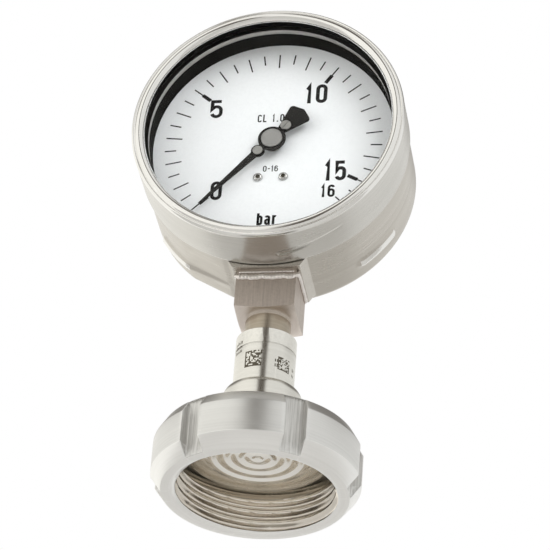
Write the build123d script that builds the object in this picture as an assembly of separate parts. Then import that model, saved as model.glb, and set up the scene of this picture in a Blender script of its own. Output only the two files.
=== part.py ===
from build123d import *
import math
import os

# Pressure gauge, 100 mm case, with a hygienic diaphragm seal and a slotted union nut.
# Millimetres, +Z up. The origin is the centre of the union nut's lower face, on the stem axis.
# The dial faces -Y. Head pieces are drawn in the dial's own frame: x to the viewer's right,
# y up, z out of the dial towards the viewer, with z = 0 on the dial's printed face.

# ---- union nut ----
nut_height = 22.0
nut_diameter = 74.4
nut_thread_diameter = 60.0
nut_thread_pitch = 25.4 / 6
nut_thread_depth = 1.9
nut_crest_land = 0.9
nut_mouth_chamfer = 1.1
nut_first_crest = 4.2
nut_thread_relief = 0.8
nut_floor_thickness = 3.5
nut_shoulder_width = 6.0
nut_slot_count = 6
nut_slot_width = 7.8
nut_slot_depth = 4.0
nut_slot_angle = 0.0
nut_lower_chamfer_height = 5.2
nut_lower_chamfer_depth = 3.9
nut_upper_chamfer_height = 4.8
nut_upper_chamfer_depth = 2.8

# ---- diaphragm seal ----
seal_flange_gap = 3.0
seal_flange_thickness = 3.4
seal_flange_chamfer = 1.6
seal_boss_rise = 3.0
nut_hole_clearance = 0.3
collar_diameter = 28.4
collar_top = 41.4
collar_shoulder = 3.6
diaphragm_rim = 8.0
diaphragm_weld_width = 1.5
diaphragm_thickness = 0.15
diaphragm_wave_pitch = 4.8
diaphragm_wave_height = 0.55
fill_chamber_depth = 1.0
fill_port_wall = 1.75
fill_port_depth = 5.0

# ---- stem ----
channel_diameter = 3.2
sleeve_diameter = 22.0
sleeve_length = 15.0
stub_length = 6.2
neck_diameter = 16.6
neck_length = 8.2
weld_gap_width = 0.5
weld_gap_depth = 0.35
block_width = 22.0
block_corner_turn = 1.1
block_bottom_to_dial = 66.9

# ---- case ----
case_diameter = 99.0
case_wall = 1.2
case_back_radius = 2.0
stem_to_case_back = 15.5
dial_to_stem = 17.5
case_mouth_diameter = 96.4
case_mouth_front = 7.3
case_rim_diameter = 98.4
case_rim_thickness = 1.5
case_step = -4.4
saddle_drop = 51.1
saddle_bottom_width = 24.6
saddle_crease_width = 29.4
saddle_back = -30.5
rib_depth_place = -25.5
rib_rise = 0.9
rib_radius = 1.5
rib_first_angle = -50.0
rib_sweep = 23.0
blowout_hole_diameter = 20.0
blowout_height = 24.0

# ---- bezel ----
bezel_diameter = 101.0
bezel_front = 16.0
bezel_rear = -4.0
bezel_sheet = 0.9
bezel_opening = 91.4
bayonet_count = 3
bayonet_first_angle = -70.0
bayonet_sweep = 26.0
bayonet_radius = 1.4
bayonet_place = 3.0
bayonet_reach = 0.7
bayonet_twist = 30.0

# ---- window and rings ----
window_diameter = 94.0
window_thickness = 3.6
gasket_lip = 0.6
gasket_lip_opening = 92.2
inner_ring_opening = 90.0
support_ring_thickness = 2.3
assembly_clearance = 0.1

# ---- dial ----
dial_diameter = 93.4
dial_thickness = 0.8
dial_centre_hole = 7.0
dial_screw_x = 4.7
dial_screw_y = -14.9
dial_screw_head = 3.6
screw_shank = 1.8
standoff_diameter = 3.6

# ---- pointer ----
pointer_lift = 3.0
pointer_thickness = 0.6
pointer_length = 37.4
pointer_root_width = 3.6
pointer_tip_width = 0.7
pointer_zero_angle = 228.0
pointer_boss_diameter = 10.4
counterweight_radius = 16.0
counterweight_spread = 37.0
counterweight_corner = 1.4
hub_bush_diameter = 3.0
hub_cap_diameter = 8.0
hub_cap_thickness = 0.6
rivet_distance = 7.3
rivet_diameter = 3.7
adjuster_diameter = 4.0

# ---- movement ----
plate_thickness = 1.4
front_plate_back = -4.4
back_plate_front = -12.4
plate_width = 28.0
plate_top = 9.6
plate_bottom = -24.8
plate_corner = 3.0
pillar_diameter = 3.6
pillar_inset = 2.8
gear_module = 0.35
pinion_teeth = 14
sector_teeth_full = 98
sector_teeth = 14
pinion_width = 2.4
sector_width = 1.2
sector_back = -8.8
tail_length = 7.0
tail_width = 3.4
arbor_diameter = 1.8
running_clearance = 0.04
bush_diameter = 4.4
bush_flange = 0.5
link_pin_diameter = 1.4
link_width = 3.0
link_thickness = 0.8
link_gap = 0.25
link_slack = 0.55
link_end_x = 29.0
pointer_sweep = 273.0
spiral_turns = 4.5
spiral_start = 1.9
spiral_pitch = 0.95
spiral_strip = 0.22
spiral_width = 0.8
spiral_back = -6.1

# ---- Bourdon tube ----
tube_radius = 34.0
tube_width = 11.0
tube_height = 4.0
tube_wall = 0.6
tube_centre = -21.0
tube_root_angle = 269.0
tube_tip_angle = -22.0
tip_block_angle = 7.0
tip_neck_width = 3.2
tip_arm_width = 4.6
tip_arm_thickness = 1.5
bracket_thickness = 1.5
bracket_window = (16.0, 17.6)
socket_head_width = 18.0
socket_head_top = -25.6
socket_head_bottom = -38.0
bracket_screw_x = 5.6
bracket_screw_y = -28.6
bracket_screw_head = 4.6
bracket_screw_shank = 2.6

# ---- worked out ----
block_bottom = collar_top + sleeve_length + stub_length + neck_length
dial_height = block_bottom + block_bottom_to_dial
sleeve_top = collar_top + sleeve_length
neck_bottom = sleeve_top + stub_length
nut_shoulder = nut_height - nut_floor_thickness
flange_top = nut_shoulder - assembly_clearance
flange_face = flange_top - seal_flange_thickness
seal_boss_top = nut_height + seal_boss_rise
nut_hole_diameter = nut_thread_diameter - 2 * nut_shoulder_width
seal_flange_diameter = nut_thread_diameter - 2 * seal_flange_gap
seal_boss_diameter = nut_hole_diameter - 2 * nut_hole_clearance
diaphragm_diameter = seal_flange_diameter - 2 * diaphragm_rim
fill_port_reach = (seal_boss_diameter + collar_diameter) / 4
fill_port_diameter = (seal_boss_diameter - collar_diameter) / 2 - 2 * fill_port_wall
case_back = -(dial_to_stem + stem_to_case_back)
stem_depth = -dial_to_stem
nut_crest_radius = nut_thread_diameter / 2 - nut_thread_depth
nut_crest_count = 1 + int((flange_face - 1 - nut_first_crest) // nut_thread_pitch)
sector_centre_y = -gear_module * (pinion_teeth + sector_teeth_full) / 2
sector_sweep = pointer_sweep * pinion_teeth / sector_teeth_full
tail_y = sector_centre_y - tail_length * math.cos(math.radians(sector_sweep / 2))
tail_x = -tail_length * math.sin(math.radians(sector_sweep / 2))
window_back = case_mouth_front + support_ring_thickness
window_front = window_back + window_thickness
gasket_front = window_front + gasket_lip
front_plate_front = front_plate_back + plate_thickness
back_plate_back = back_plate_front - plate_thickness
bracket_back = back_plate_back - bracket_thickness
tube_front = tube_centre + tube_width / 2
tube_back = tube_centre - tube_width / 2
pointer_back = pointer_lift
pointer_front = pointer_back + pointer_thickness
link_front = sector_back - link_gap
link_back = link_front - link_thickness
tip_arm_front = link_back - link_gap
tip_arm_back = tip_arm_front - tip_arm_thickness
socket_head_depth = bracket_back - tube_back + 0.4

head = Plane(origin=(0, -dial_to_stem, dial_height), x_dir=(1, 0, 0), z_dir=(0, -1, 0))


# ---- helpers ----

def tube_between(radius, bottom, top, x=0.0, y=0.0):
    """Solid round bar along z between two heights."""
    return Pos(x, y, (bottom + top) / 2) * Cylinder(radius, top - bottom)


def ring_between(outer, inner, bottom, top, x=0.0, y=0.0):
    """Round ring along z between two heights."""
    return tube_between(outer, bottom, top, x, y) - tube_between(inner, bottom - 1, top + 1, x, y)


def box_between(x_span, y_span, z_span):
    """Box given by its low and high value on each axis."""
    size = [high - low for low, high in (x_span, y_span, z_span)]
    centre = [(high + low) / 2 for low, high in (x_span, y_span, z_span)]
    return Pos(*centre) * Box(*size)


def turned(profile):
    """Solid turned about z from a closed outline of (radius, height) points."""
    return revolve(make_face(Polyline(*[(r, 0, z) for r, z in profile], close=True)), Axis.Z)


def plate_between(sketch, bottom, top):
    """Flat plate of a sketch between two heights."""
    return Pos(0, 0, bottom) * extrude(sketch, top - bottom)


def polar(radius, degrees):
    """Point at a radius and an angle, counter-clockwise from +x."""
    return (radius * math.cos(math.radians(degrees)), radius * math.sin(math.radians(degrees)))


# ---- union nut ----

def thread_cutter():
    """Rounded grooves of the nut's internal thread, then a plain relief up to the shoulder."""
    steps = 6
    groove = nut_thread_pitch - nut_crest_land
    height = nut_first_crest - nut_crest_land / 2 - groove
    mouth = nut_crest_radius + nut_mouth_chamfer
    outline = [(0, -1), (mouth, -1), (mouth, 0), (nut_crest_radius, height)]
    for crest in range(nut_crest_count):
        for step in range(1, 2 * steps + 1):
            rise = math.sin(math.pi * step / (2 * steps))
            outline.append((nut_crest_radius + nut_thread_depth * rise, height + groove * step / (2 * steps)))
        height += nut_thread_pitch
        outline.append((nut_crest_radius, height))
    relief = nut_crest_radius + nut_thread_relief
    outline += [(relief, height), (relief, nut_shoulder), (0, nut_shoulder)]
    return turned(outline)


def union_nut():
    radius = nut_diameter / 2
    body = turned([
        (0, 0),
        (radius - nut_lower_chamfer_depth, 0),
        (radius, nut_lower_chamfer_height),
        (radius, nut_height - nut_upper_chamfer_height),
        (radius - nut_upper_chamfer_depth, nut_height),
        (0, nut_height),
    ])
    body -= thread_cutter()
    body -= tube_between(nut_hole_diameter / 2, nut_shoulder - 1, nut_height + 1)
    for index in range(nut_slot_count):
        slot = Pos(radius - nut_slot_depth + 5, 0, nut_height / 2) * Box(10, nut_slot_width, nut_height + 2)
        body -= Rot(0, 0, nut_slot_angle + index * 360 / nut_slot_count) * slot
    return body


# ---- diaphragm seal ----

def seal_body():
    flange = seal_flange_diameter / 2
    body = turned([
        (0, flange_face),
        (flange - seal_flange_chamfer, flange_face),
        (flange, flange_face + seal_flange_chamfer),
        (flange, flange_top),
        (seal_boss_diameter / 2, flange_top),
        (seal_boss_diameter / 2, seal_boss_top - 1),
        (seal_boss_diameter / 2 - 1, seal_boss_top),
        (0, seal_boss_top),
    ])
    collar = tube_between(collar_diameter / 2, seal_boss_top, collar_top)
    collar = fillet(collar.edges().group_by(Axis.Z)[-1], collar_shoulder)
    body += collar
    body -= tube_between(channel_diameter / 2, 0, collar_top + 1)
    chamber = diaphragm_diameter / 2 - diaphragm_weld_width
    body -= tube_between(chamber, flange_face - 1, flange_face + fill_chamber_depth)
    port = fill_port_diameter / 2
    body -= tube_between(port, seal_boss_top - fill_port_depth, seal_boss_top + 1, y=fill_port_reach)
    drilling = fill_port_diameter / 10
    body -= tube_between(drilling, flange_face, seal_boss_top - 1, y=chamber - 2 * drilling)
    return body


def diaphragm():
    radius = diaphragm_diameter / 2
    reach = radius - diaphragm_weld_width
    waves = round(reach / diaphragm_wave_pitch * 12)
    lower = []
    for step in range(waves + 1):
        r = reach * step / waves
        wave = (1 - math.cos(2 * math.pi * r / diaphragm_wave_pitch)) / 2
        lower.append((r, flange_face - diaphragm_thickness - diaphragm_wave_height * wave))
    lower.append((radius, flange_face - diaphragm_thickness))
    upper = [(r, z + diaphragm_thickness) for r, z in reversed(lower)]
    return turned(lower + upper)


def fill_port_plug():
    bottom = seal_boss_top - fill_port_depth
    plug = tube_between(fill_port_diameter / 2, bottom, seal_boss_top - 0.6, y=fill_port_reach)
    socket = extrude(RegularPolygon(fill_port_diameter / 4, 6), 3)
    return plug - Pos(0, fill_port_reach, seal_boss_top - 2.6) * socket


# ---- stem ----

def adapter_sleeve():
    body = tube_between(sleeve_diameter / 2, collar_top, sleeve_top)
    body -= tube_between(channel_diameter / 2, collar_top - 1, sleeve_top + 1)
    groove_radius = sleeve_diameter / 2 - weld_gap_depth
    return body - ring_between(sleeve_diameter, groove_radius, sleeve_top - weld_gap_width, sleeve_top + 1)


def stem_block():
    """Square block with its lower corners turned off, up to the movement bracket's seat."""
    top = dial_height + socket_head_bottom
    block = Pos(0, 0, (block_bottom + top) / 2) * Box(block_width, block_width, top - block_bottom)
    corner = block_width / 2 * math.sqrt(2)
    turning = turned([
        (0, block_bottom),
        (block_width / 2, block_bottom),
        (corner + 0.5, block_bottom + block_corner_turn),
        (corner + 0.5, top),
        (0, top),
    ])
    return block & turning


def tube_slot_section(grow=0.0):
    """Flattened section of the Bourdon tube, placed at its coil radius for turning about z."""
    height = tube_height + 2 * grow
    section = SlotOverall(tube_width + 2 * grow, height, rotation=90)
    return Plane.XZ * Pos(tube_radius, tube_centre) * section


def coil(section, start, sweep):
    """Sweep a section clockwise about the dial axis from an angle."""
    return Rot(0, 0, start - sweep) * revolve(section, Axis.Z, revolution_arc=sweep)


def socket_block():
    body = stem_block()
    neck = tube_between(neck_diameter / 2, neck_bottom, block_bottom)
    stub = tube_between(sleeve_diameter / 2, sleeve_top, neck_bottom)
    stub = chamfer(stub.edges().group_by(Axis.Z)[-1], 0.5)
    body = body + neck + stub
    half = socket_head_width / 2
    head_box = box_between(
        (-half, half),
        (socket_head_bottom, socket_head_top),
        (bracket_back - socket_head_depth, bracket_back),
    )
    slot = coil(tube_slot_section(), tube_root_angle + 2, 60)
    screws = Compound(children=[
        tube_between(bracket_screw_shank / 2, bracket_back - 6, bracket_back + 1, side * bracket_screw_x,
                     bracket_screw_y) for side in (-1, 1)])
    body += head * (head_box - slot - screws)
    channel_top = dial_height - tube_radius
    return body - tube_between(channel_diameter / 2, sleeve_top - 1, channel_top)


# ---- case ----

def cup(radius, mouth_radius, back, step, front, corner):
    """Solid round cup blank with a narrower mouth in front of the step."""
    rear = tube_between(radius, back, step)
    rear = fillet(rear.edges().group_by(Axis.Z)[0], corner)
    return rear + tube_between(mouth_radius, step, front)


def saddle(inset, back, front):
    """Flat-bottomed prism under the case, where the socket comes out."""
    bottom = saddle_bottom_width / 2 - inset
    crease = saddle_crease_width / 2 - inset
    crease_height = -math.sqrt((case_diameter / 2) ** 2 - (saddle_crease_width / 2) ** 2) + inset
    outline = make_face(Polyline(
        (-crease, crease_height), (-bottom, inset - saddle_drop), (bottom, inset - saddle_drop),
        (crease, crease_height), (crease, -30), (-crease, -30), close=True))
    return plate_between(outline, back, front)


def torus_arc(radius, section_radius, height, start, sweep):
    """Round-ended bar bent about z, from an angle counter-clockwise."""
    section = Plane.XZ * Pos(radius, height) * Circle(section_radius)
    bar = Rot(0, 0, start) * revolve(section, Axis.Z, revolution_arc=sweep)
    for angle in (start, start + sweep):
        x, y = polar(radius, angle)
        bar += Pos(x, y, height) * Sphere(section_radius)
    return bar


def case():
    radius = case_diameter / 2
    mouth = case_mouth_diameter / 2
    outer = cup(radius, mouth, case_back, case_step, case_mouth_front, case_back_radius)
    outer += saddle(0, saddle_back, case_step)
    for start in (rib_first_angle, 180 - rib_first_angle - rib_sweep):
        outer += torus_arc(radius - rib_radius + rib_rise, rib_radius, rib_depth_place, start, rib_sweep)
    rim_back = case_mouth_front - case_rim_thickness
    rim = tube_between(case_rim_diameter / 2, rim_back, case_mouth_front)
    notch = Plane.XZ * Pos(case_rim_diameter / 2, case_mouth_front) * Rectangle(2.2, 6)
    notch_sweep = bayonet_sweep + 6
    for index in range(bayonet_count):
        angle = bayonet_first_angle + bayonet_twist + index * 360 / bayonet_count
        rim -= Rot(0, 0, angle - notch_sweep / 2) * revolve(notch, Axis.Z, revolution_arc=notch_sweep)
    outer += rim
    inner = cup(radius - case_wall, mouth - case_wall, case_back + case_wall, case_step - case_wall,
                case_mouth_front + 1, case_back_radius / 2)
    inner += saddle(case_wall, saddle_back + case_wall, case_step - case_wall)
    shell = outer - inner
    half = block_width / 2
    shell -= box_between((-half, half), (-saddle_drop - 1, -30), (stem_depth - half, stem_depth + half))
    return shell - tube_between(blowout_hole_diameter / 2, case_back - 1, case_back + 3, y=blowout_height)


def blowout_plug():
    """Rubber plug in the rear relief hole, with a flange outside and a retaining bead inside."""
    hole = blowout_hole_diameter / 2
    inside = case_back + case_wall
    return turned([
        (0, case_back - 1.6),
        (hole + 1.4, case_back - 1.6),
        (hole + 2.0, case_back - 1.0),
        (hole + 2.0, case_back - assembly_clearance),
        (hole - 0.3, case_back - assembly_clearance),
        (hole - 0.3, inside + assembly_clearance),
        (hole - 0.3, inside + 1.6),
        (hole - 2.0, inside + 1.6),
        (hole - 2.0, case_back - 0.2),
        (0, case_back - 0.2),
    ]).moved(Location((0, blowout_height, 0)))


# ---- bezel, window and rings ----

def bezel_ring():
    outer = bezel_diameter / 2
    opening = bezel_opening / 2
    sheet = bezel_sheet
    front = bezel_front
    ring = turned([
        (outer - 0.1, bezel_rear),
        (outer - 0.1, front - 2.9),
        (outer, front - 2.0),
        (outer - 0.15, front - 1.1),
        (outer - 0.6, front - 0.6),
        (outer - 1.1, front - 0.75),
        (outer - 1.35, front - 1.05),
        (outer - 1.65, front - 0.5),
        (outer - 2.2, front - 0.05),
        (outer - 2.8, front),
        (opening + 1.3, front - 0.2),
        (opening + 0.5, front - 1.0),
        (opening, front - 1.9),
        (opening, gasket_front + assembly_clearance),
        (outer - sheet - 0.2, gasket_front + assembly_clearance),
        (outer - sheet - 0.1, gasket_front - 0.6),
        (outer - sheet - 0.1, bezel_rear),
    ])
    skirt = outer - 0.1
    inside = skirt - sheet
    for index in range(bayonet_count):
        start = bayonet_first_angle - bayonet_sweep / 2 + index * 360 / bayonet_count
        reach = bayonet_radius - bayonet_reach
        lug, groove = (
            torus_arc(wall + reach, bayonet_radius, bayonet_place, start, bayonet_sweep)
            for wall in (inside, skirt))
        ring += lug & tube_between(inside + sheet / 2, bezel_rear, bezel_front)
        ring -= groove
    return ring


def window_gasket():
    outer = (case_rim_diameter / 2) - 0.4
    glass = window_diameter / 2 + 0.02
    return turned([
        (glass, case_mouth_front),
        (outer, case_mouth_front),
        (outer, gasket_front),
        (gasket_lip_opening / 2, gasket_front),
        (gasket_lip_opening / 2, window_front),
        (glass, window_front),
    ])


def window_glass():
    return tube_between(window_diameter / 2, window_back, window_front)


def support_ring():
    outer = window_diameter / 2 - assembly_clearance
    return ring_between(outer, inner_ring_opening / 2 + 0.1, case_mouth_front, window_back)


def dial_surround():
    outer = case_mouth_diameter / 2 - case_wall - assembly_clearance
    return ring_between(outer, inner_ring_opening / 2, 0, case_mouth_front)


# ---- dial and its screws ----

def dial_screw_places():
    return [(side * dial_screw_x, dial_screw_y) for side in (-1, 1)]


def dial():
    plate = tube_between(dial_diameter / 2, -dial_thickness, 0)
    plate -= tube_between(dial_centre_hole / 2, -dial_thickness - 1, 1)
    for x, y in dial_screw_places():
        plate -= tube_between(screw_shank / 2, -dial_thickness - 1, 1, x, y)
    return plate


def dial_screws():
    screws = []
    for x, y in dial_screw_places():
        dome = Pos(x, y, 0) * turned([(0, 0), (dial_screw_head / 2, 0), (dial_screw_head / 2, 0.5),
                                      (dial_screw_head / 2 - 0.6, 0.9), (0, 1.05)])
        shank = tube_between(screw_shank / 2, front_plate_back, 0, x, y)
        slot = Pos(x, y, 1.05) * Rot(0, 0, 40) * Box(dial_screw_head + 1, 0.5, 0.8)
        screws.append(dome + shank - slot)
    return Compound(children=screws)


def dial_standoffs():
    return Compound(children=[
        ring_between(standoff_diameter / 2, screw_shank / 2, front_plate_front, -dial_thickness, x, y)
        for x, y in dial_screw_places()])


# ---- pointer ----

def pointer():
    blade = make_face(Polyline(
        (0, pointer_root_width / 2),
        (rivet_distance + 3, pointer_root_width / 2 * 0.75),
        (pointer_length, pointer_tip_width / 2),
        (pointer_length, -pointer_tip_width / 2),
        (rivet_distance + 3, -pointer_root_width / 2 * 0.75),
        (0, -pointer_root_width / 2),
        close=True))
    weight = make_face(Polyline(
        (0, 0),
        polar(counterweight_radius, 180 - counterweight_spread / 2),
        polar(counterweight_radius + 0.9, 180),
        polar(counterweight_radius, 180 + counterweight_spread / 2),
        close=True))
    weight = fillet(weight.vertices().sort_by(Axis.X)[1:3], counterweight_corner)
    lobe = Pos(rivet_distance, 0) * Circle(rivet_diameter / 2 + 0.7)
    outline = blade + weight + Circle(pointer_boss_diameter / 2) + lobe
    plate = plate_between(outline, pointer_back, pointer_front)
    holes = (
        (hub_bush_diameter / 2, 0),
        (rivet_diameter / 4, rivet_distance),
        (adjuster_diameter / 4 + running_clearance, -rivet_distance),
    )
    for radius, x in holes:
        plate -= tube_between(radius, pointer_back - 1, pointer_front + 1, x)
    return Rot(0, 0, pointer_zero_angle) * plate


def pointer_hub():
    """Bush on the arbor's end, with the bright cap over the pointer."""
    bush = tube_between(hub_bush_diameter / 2, pointer_back - 1.6, pointer_front)
    cap = tube_between(hub_cap_diameter / 2, pointer_front, pointer_front + hub_cap_thickness)
    cap = chamfer(cap.edges().group_by(Axis.Z)[-1], 0.25)
    return bush + cap - tube_between(arbor_diameter / 2, pointer_back - 2, pointer_front)


def pointer_rivet():
    x, y = polar(rivet_distance, pointer_zero_angle)
    rivet = tube_between(rivet_diameter / 2, pointer_front, pointer_front + 0.5, x, y)
    return rivet + tube_between(rivet_diameter / 4, pointer_back - 0.3, pointer_front, x, y)


def pointer_adjuster():
    """Slotted screw that shifts the pointer on its hub."""
    screw = tube_between(adjuster_diameter / 2, pointer_front + 0.05, pointer_front + 0.65)
    screw += tube_between(adjuster_diameter / 4, pointer_back - 0.6, pointer_front + 0.05)
    screw -= Pos(0, 0, pointer_front + 0.65) * Rot(0, 0, 55) * Box(adjuster_diameter + 1, 0.6, 0.6)
    x, y = polar(rivet_distance, pointer_zero_angle + 180)
    return Pos(x, y, 0) * screw


# ---- movement ----

def pillar_places():
    x = plate_width / 2 - pillar_inset
    rows = (plate_top - pillar_inset, plate_bottom + pillar_inset)
    return [(side * x, y) for side in (-1, 1) for y in rows]


def bush_places():
    return [(0, 0), (0, sector_centre_y)]


def movement_plate(bottom, top):
    centre = (plate_top + plate_bottom) / 2
    outline = Pos(0, centre) * RectangleRounded(plate_width, plate_top - plate_bottom, plate_corner)
    plate = plate_between(outline, bottom, top)
    for x, y in pillar_places():
        plate -= tube_between(screw_shank / 2, bottom - 1, top + 1, x, y)
    for x, y in bush_places():
        plate -= tube_between(bush_diameter / 2, bottom - 1, top + 1, x, y)
    return plate


def front_plate():
    plate = movement_plate(front_plate_back, front_plate_front)
    for x, y in dial_screw_places():
        plate -= tube_between(screw_shank / 2, front_plate_back - 1, front_plate_front + 1, x, y)
    stud_x, stud_y = stud_place()
    return plate - tube_between(0.6, front_plate_back - 1, front_plate_front + 1, stud_x, stud_y)


def back_plate():
    return movement_plate(back_plate_back, back_plate_front)


def plate_pillars():
    return Compound(children=[
        ring_between(pillar_diameter / 2, screw_shank / 2, back_plate_front, front_plate_back, x, y)
        for x, y in pillar_places()])


def movement_screws():
    screws = []
    for x, y in pillar_places():
        screw = tube_between(1.7, front_plate_front, front_plate_front + 0.9, x, y)
        screw += tube_between(screw_shank / 2, bracket_back, front_plate_front, x, y)
        screw -= Pos(x, y, front_plate_front + 0.9) * Rot(0, 0, 25) * Box(5, 0.5, 0.8)
        screws.append(screw)
    return Compound(children=screws)


def pivot_bushes():
    """Flanged bearings for both arbors, in both plates."""
    bore = arbor_diameter / 2 + running_clearance
    bushes = []
    for x, y in bush_places():
        for bottom, flange_bottom in ((front_plate_back, front_plate_back - bush_flange),
                                      (back_plate_back, back_plate_front)):
            bush = tube_between(bush_diameter / 2, bottom, bottom + plate_thickness, x, y)
            bush += tube_between(bush_diameter / 2 + 0.4, flange_bottom, flange_bottom + bush_flange, x, y)
            bushes.append(bush - tube_between(bore, bottom - 3, bottom + 4, x, y))
    return Compound(children=bushes)


def movement_bracket():
    """Strip that carries the movement on the socket head."""
    half = plate_width / 2 - 0.5
    low = socket_head_bottom + assembly_clearance
    outline = make_face(Polyline(
        (-half, plate_top - 0.5), (half, plate_top - 0.5), (half, plate_bottom),
        (socket_head_width / 2, socket_head_top), (socket_head_width / 2, low),
        (-socket_head_width / 2, low), (-socket_head_width / 2, socket_head_top), (-half, plate_bottom),
        close=True))
    plate = plate_between(outline, bracket_back, back_plate_back)
    window = Pos(0, (plate_top + plate_bottom) / 2) * RectangleRounded(*bracket_window, plate_corner)
    plate -= plate_between(window, bracket_back - 1, back_plate_back + 1)
    plate -= tube_between(bush_diameter / 2, bracket_back - 1, back_plate_back + 1, 0, sector_centre_y)
    for x, y in pillar_places():
        plate -= tube_between(screw_shank / 2, bracket_back - 1, back_plate_back + 1, x, y)
    for side in (-1, 1):
        plate -= tube_between(bracket_screw_shank / 2, bracket_back - 1, back_plate_back + 1,
                              side * bracket_screw_x, bracket_screw_y)
    return plate


def bracket_screws():
    screws = []
    for side in (-1, 1):
        x, y = side * bracket_screw_x, bracket_screw_y
        screw = tube_between(bracket_screw_head / 2, back_plate_back, back_plate_back + 1.8, x, y)
        screw += tube_between(bracket_screw_shank / 2, bracket_back - 6, back_plate_back, x, y)
        screws.append(screw - Pos(x, y, back_plate_back + 1.8) * Box(6, 0.7, 1.4))
    return Compound(children=screws)


def gear_outline(teeth, first, count, phase):
    """Outline points of straight-sided teeth: count teeth from index first, about the origin."""
    pitch_radius = gear_module * teeth / 2
    step = 360 / teeth
    points = []
    for index in range(first, first + count):
        middle = phase + index * step
        for radius, share in ((pitch_radius - gear_module, -0.33), (pitch_radius + 0.75 * gear_module, -0.13),
                              (pitch_radius + 0.75 * gear_module, 0.13), (pitch_radius - gear_module, 0.33)):
            points.append(polar(radius, middle + share * step))
    return points


def pinion_arbor():
    points = gear_outline(pinion_teeth, 0, pinion_teeth, -90)
    bottom = sector_back + sector_width / 2 - pinion_width / 2
    body = plate_between(make_face(Polyline(*points, close=True)), bottom, bottom + pinion_width)
    body += tube_between(arbor_diameter / 2, back_plate_back - 0.2, pointer_front)
    return body


def sector_gear():
    step = 360 / sector_teeth_full
    first = 90 + step / 2 - step * (sector_teeth - 2)
    points = gear_outline(sector_teeth_full, 0, sector_teeth, first)
    web = make_face(Polyline((-2.4, -0.6), (2.4, -0.6), *points, close=True))
    window = scale(web, by=0.62).moved(Location((0.9, 4.4, 0)))
    tail = Pos(tail_length / 2, 0) * SlotCenterToCenter(tail_length, tail_width)
    tail = Rot(0, 0, -90 - sector_sweep / 2) * tail
    outline = web - window + tail + Circle(3.2)
    gear = plate_between(outline, sector_back, sector_back + sector_width)
    gear -= tube_between(arbor_diameter / 2, sector_back - 1, sector_back + 3)
    gear = Pos(0, sector_centre_y, 0) * gear
    return gear - tube_between(link_pin_diameter / 2, sector_back - 1, sector_back + 3, tail_x, tail_y)


def sector_arbor():
    return tube_between(arbor_diameter / 2, back_plate_back - 0.2, front_plate_front - 0.2, y=sector_centre_y)


def tail_pin():
    bottom = link_back - link_gap
    pin = tube_between(link_pin_diameter / 2, bottom, sector_back + sector_width, tail_x, tail_y)
    return pin + tube_between(link_pin_diameter / 2 + 0.5, bottom - 0.5, bottom, tail_x, tail_y)


def link():
    length = link_end_x - sector_travel() / 2 - tail_x
    bar = Pos(length / 2, 0) * SlotCenterToCenter(length, link_width)
    end = Pos(length, 0) * Circle(link_pin_diameter / 2 + link_slack + 0.9)
    plate = plate_between(bar + end, link_back, link_front)
    plate -= tube_between(link_pin_diameter / 2 + running_clearance, link_back - 1, link_front + 1)
    plate -= tube_between(link_pin_diameter / 2 + link_slack, link_back - 1, link_front + 1, length)
    return Pos(tail_x, tail_y, 0) * plate


def sector_travel():
    """Straight distance that the sector's tail pin covers."""
    return 2 * tail_length * math.sin(math.radians(sector_sweep / 2))


def tip_pivot():
    return link_end_x - sector_travel() / 2, tail_y


def tube_tip():
    """End piece that closes the tube and carries the arm down to the link."""
    block = coil(tube_slot_section(0.3), tube_tip_angle, tip_block_angle)
    x, y = tip_pivot()
    top_x, top_y = polar(tube_radius, tube_tip_angle - tip_block_angle / 2)
    neck = Pos(top_x, top_y, (tube_front + tip_arm_back) / 2 - 0.5)
    neck *= Box(tip_neck_width, tip_neck_width, tip_arm_back - tube_front + 2)
    arm = Rot(0, 0, math.degrees(math.atan2(top_y - y, top_x - x)))
    length = math.hypot(top_x - x, top_y - y)
    arm = Pos(x, y) * arm * Pos(length / 2, 0) * SlotCenterToCenter(length, tip_arm_width)
    plate = plate_between(arm, tip_arm_back, tip_arm_front)
    body = block + neck + plate
    return body - tube_between(link_pin_diameter / 2, tip_arm_back - 1, tip_arm_front + 1, x, y)


def tip_screw():
    x, y = tip_pivot()
    seat = link_front + link_gap
    screw = tube_between(link_pin_diameter / 2, tip_arm_back, seat, x, y)
    return screw + tube_between(link_pin_diameter / 2 + 0.9, seat, seat + 0.7, x, y)


def bourdon_tube():
    outer = coil(tube_slot_section(), tube_root_angle, tube_root_angle - tube_tip_angle)
    inner = coil(tube_slot_section(-tube_wall), tube_root_angle + 1, tube_root_angle + 2 - tube_tip_angle)
    return outer - inner


def spiral_point(turns, side):
    radius = spiral_start + spiral_pitch * turns + side * spiral_strip / 2
    return polar(radius, 360 * turns)


def stud_place():
    return spiral_point(spiral_turns, 0)


def hairspring():
    steps = round(spiral_turns * 16)
    inner = [spiral_point(spiral_turns * k / steps, -1) for k in range(steps + 1)]
    outer = [spiral_point(spiral_turns * k / steps, 1) for k in range(steps + 1)]
    edges = [Spline(*inner), Line(inner[-1], outer[-1]), Spline(*reversed(outer)), Line(outer[0], inner[0])]
    return plate_between(make_face(edges), spiral_back, spiral_back + spiral_width)


def hairspring_collet():
    return ring_between(spiral_start - spiral_strip / 2 - 0.02, arbor_diameter / 2, spiral_back - 0.1,
                        spiral_back + spiral_width + 0.1)


def hairspring_stud():
    x, y = stud_place()
    outward_x, outward_y = polar(0.65, 360 * spiral_turns)
    stud = tube_between(0.5, spiral_back, front_plate_back, x + outward_x, y + outward_y)
    return stud + tube_between(0.6, front_plate_back, front_plate_front, x, y)


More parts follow.
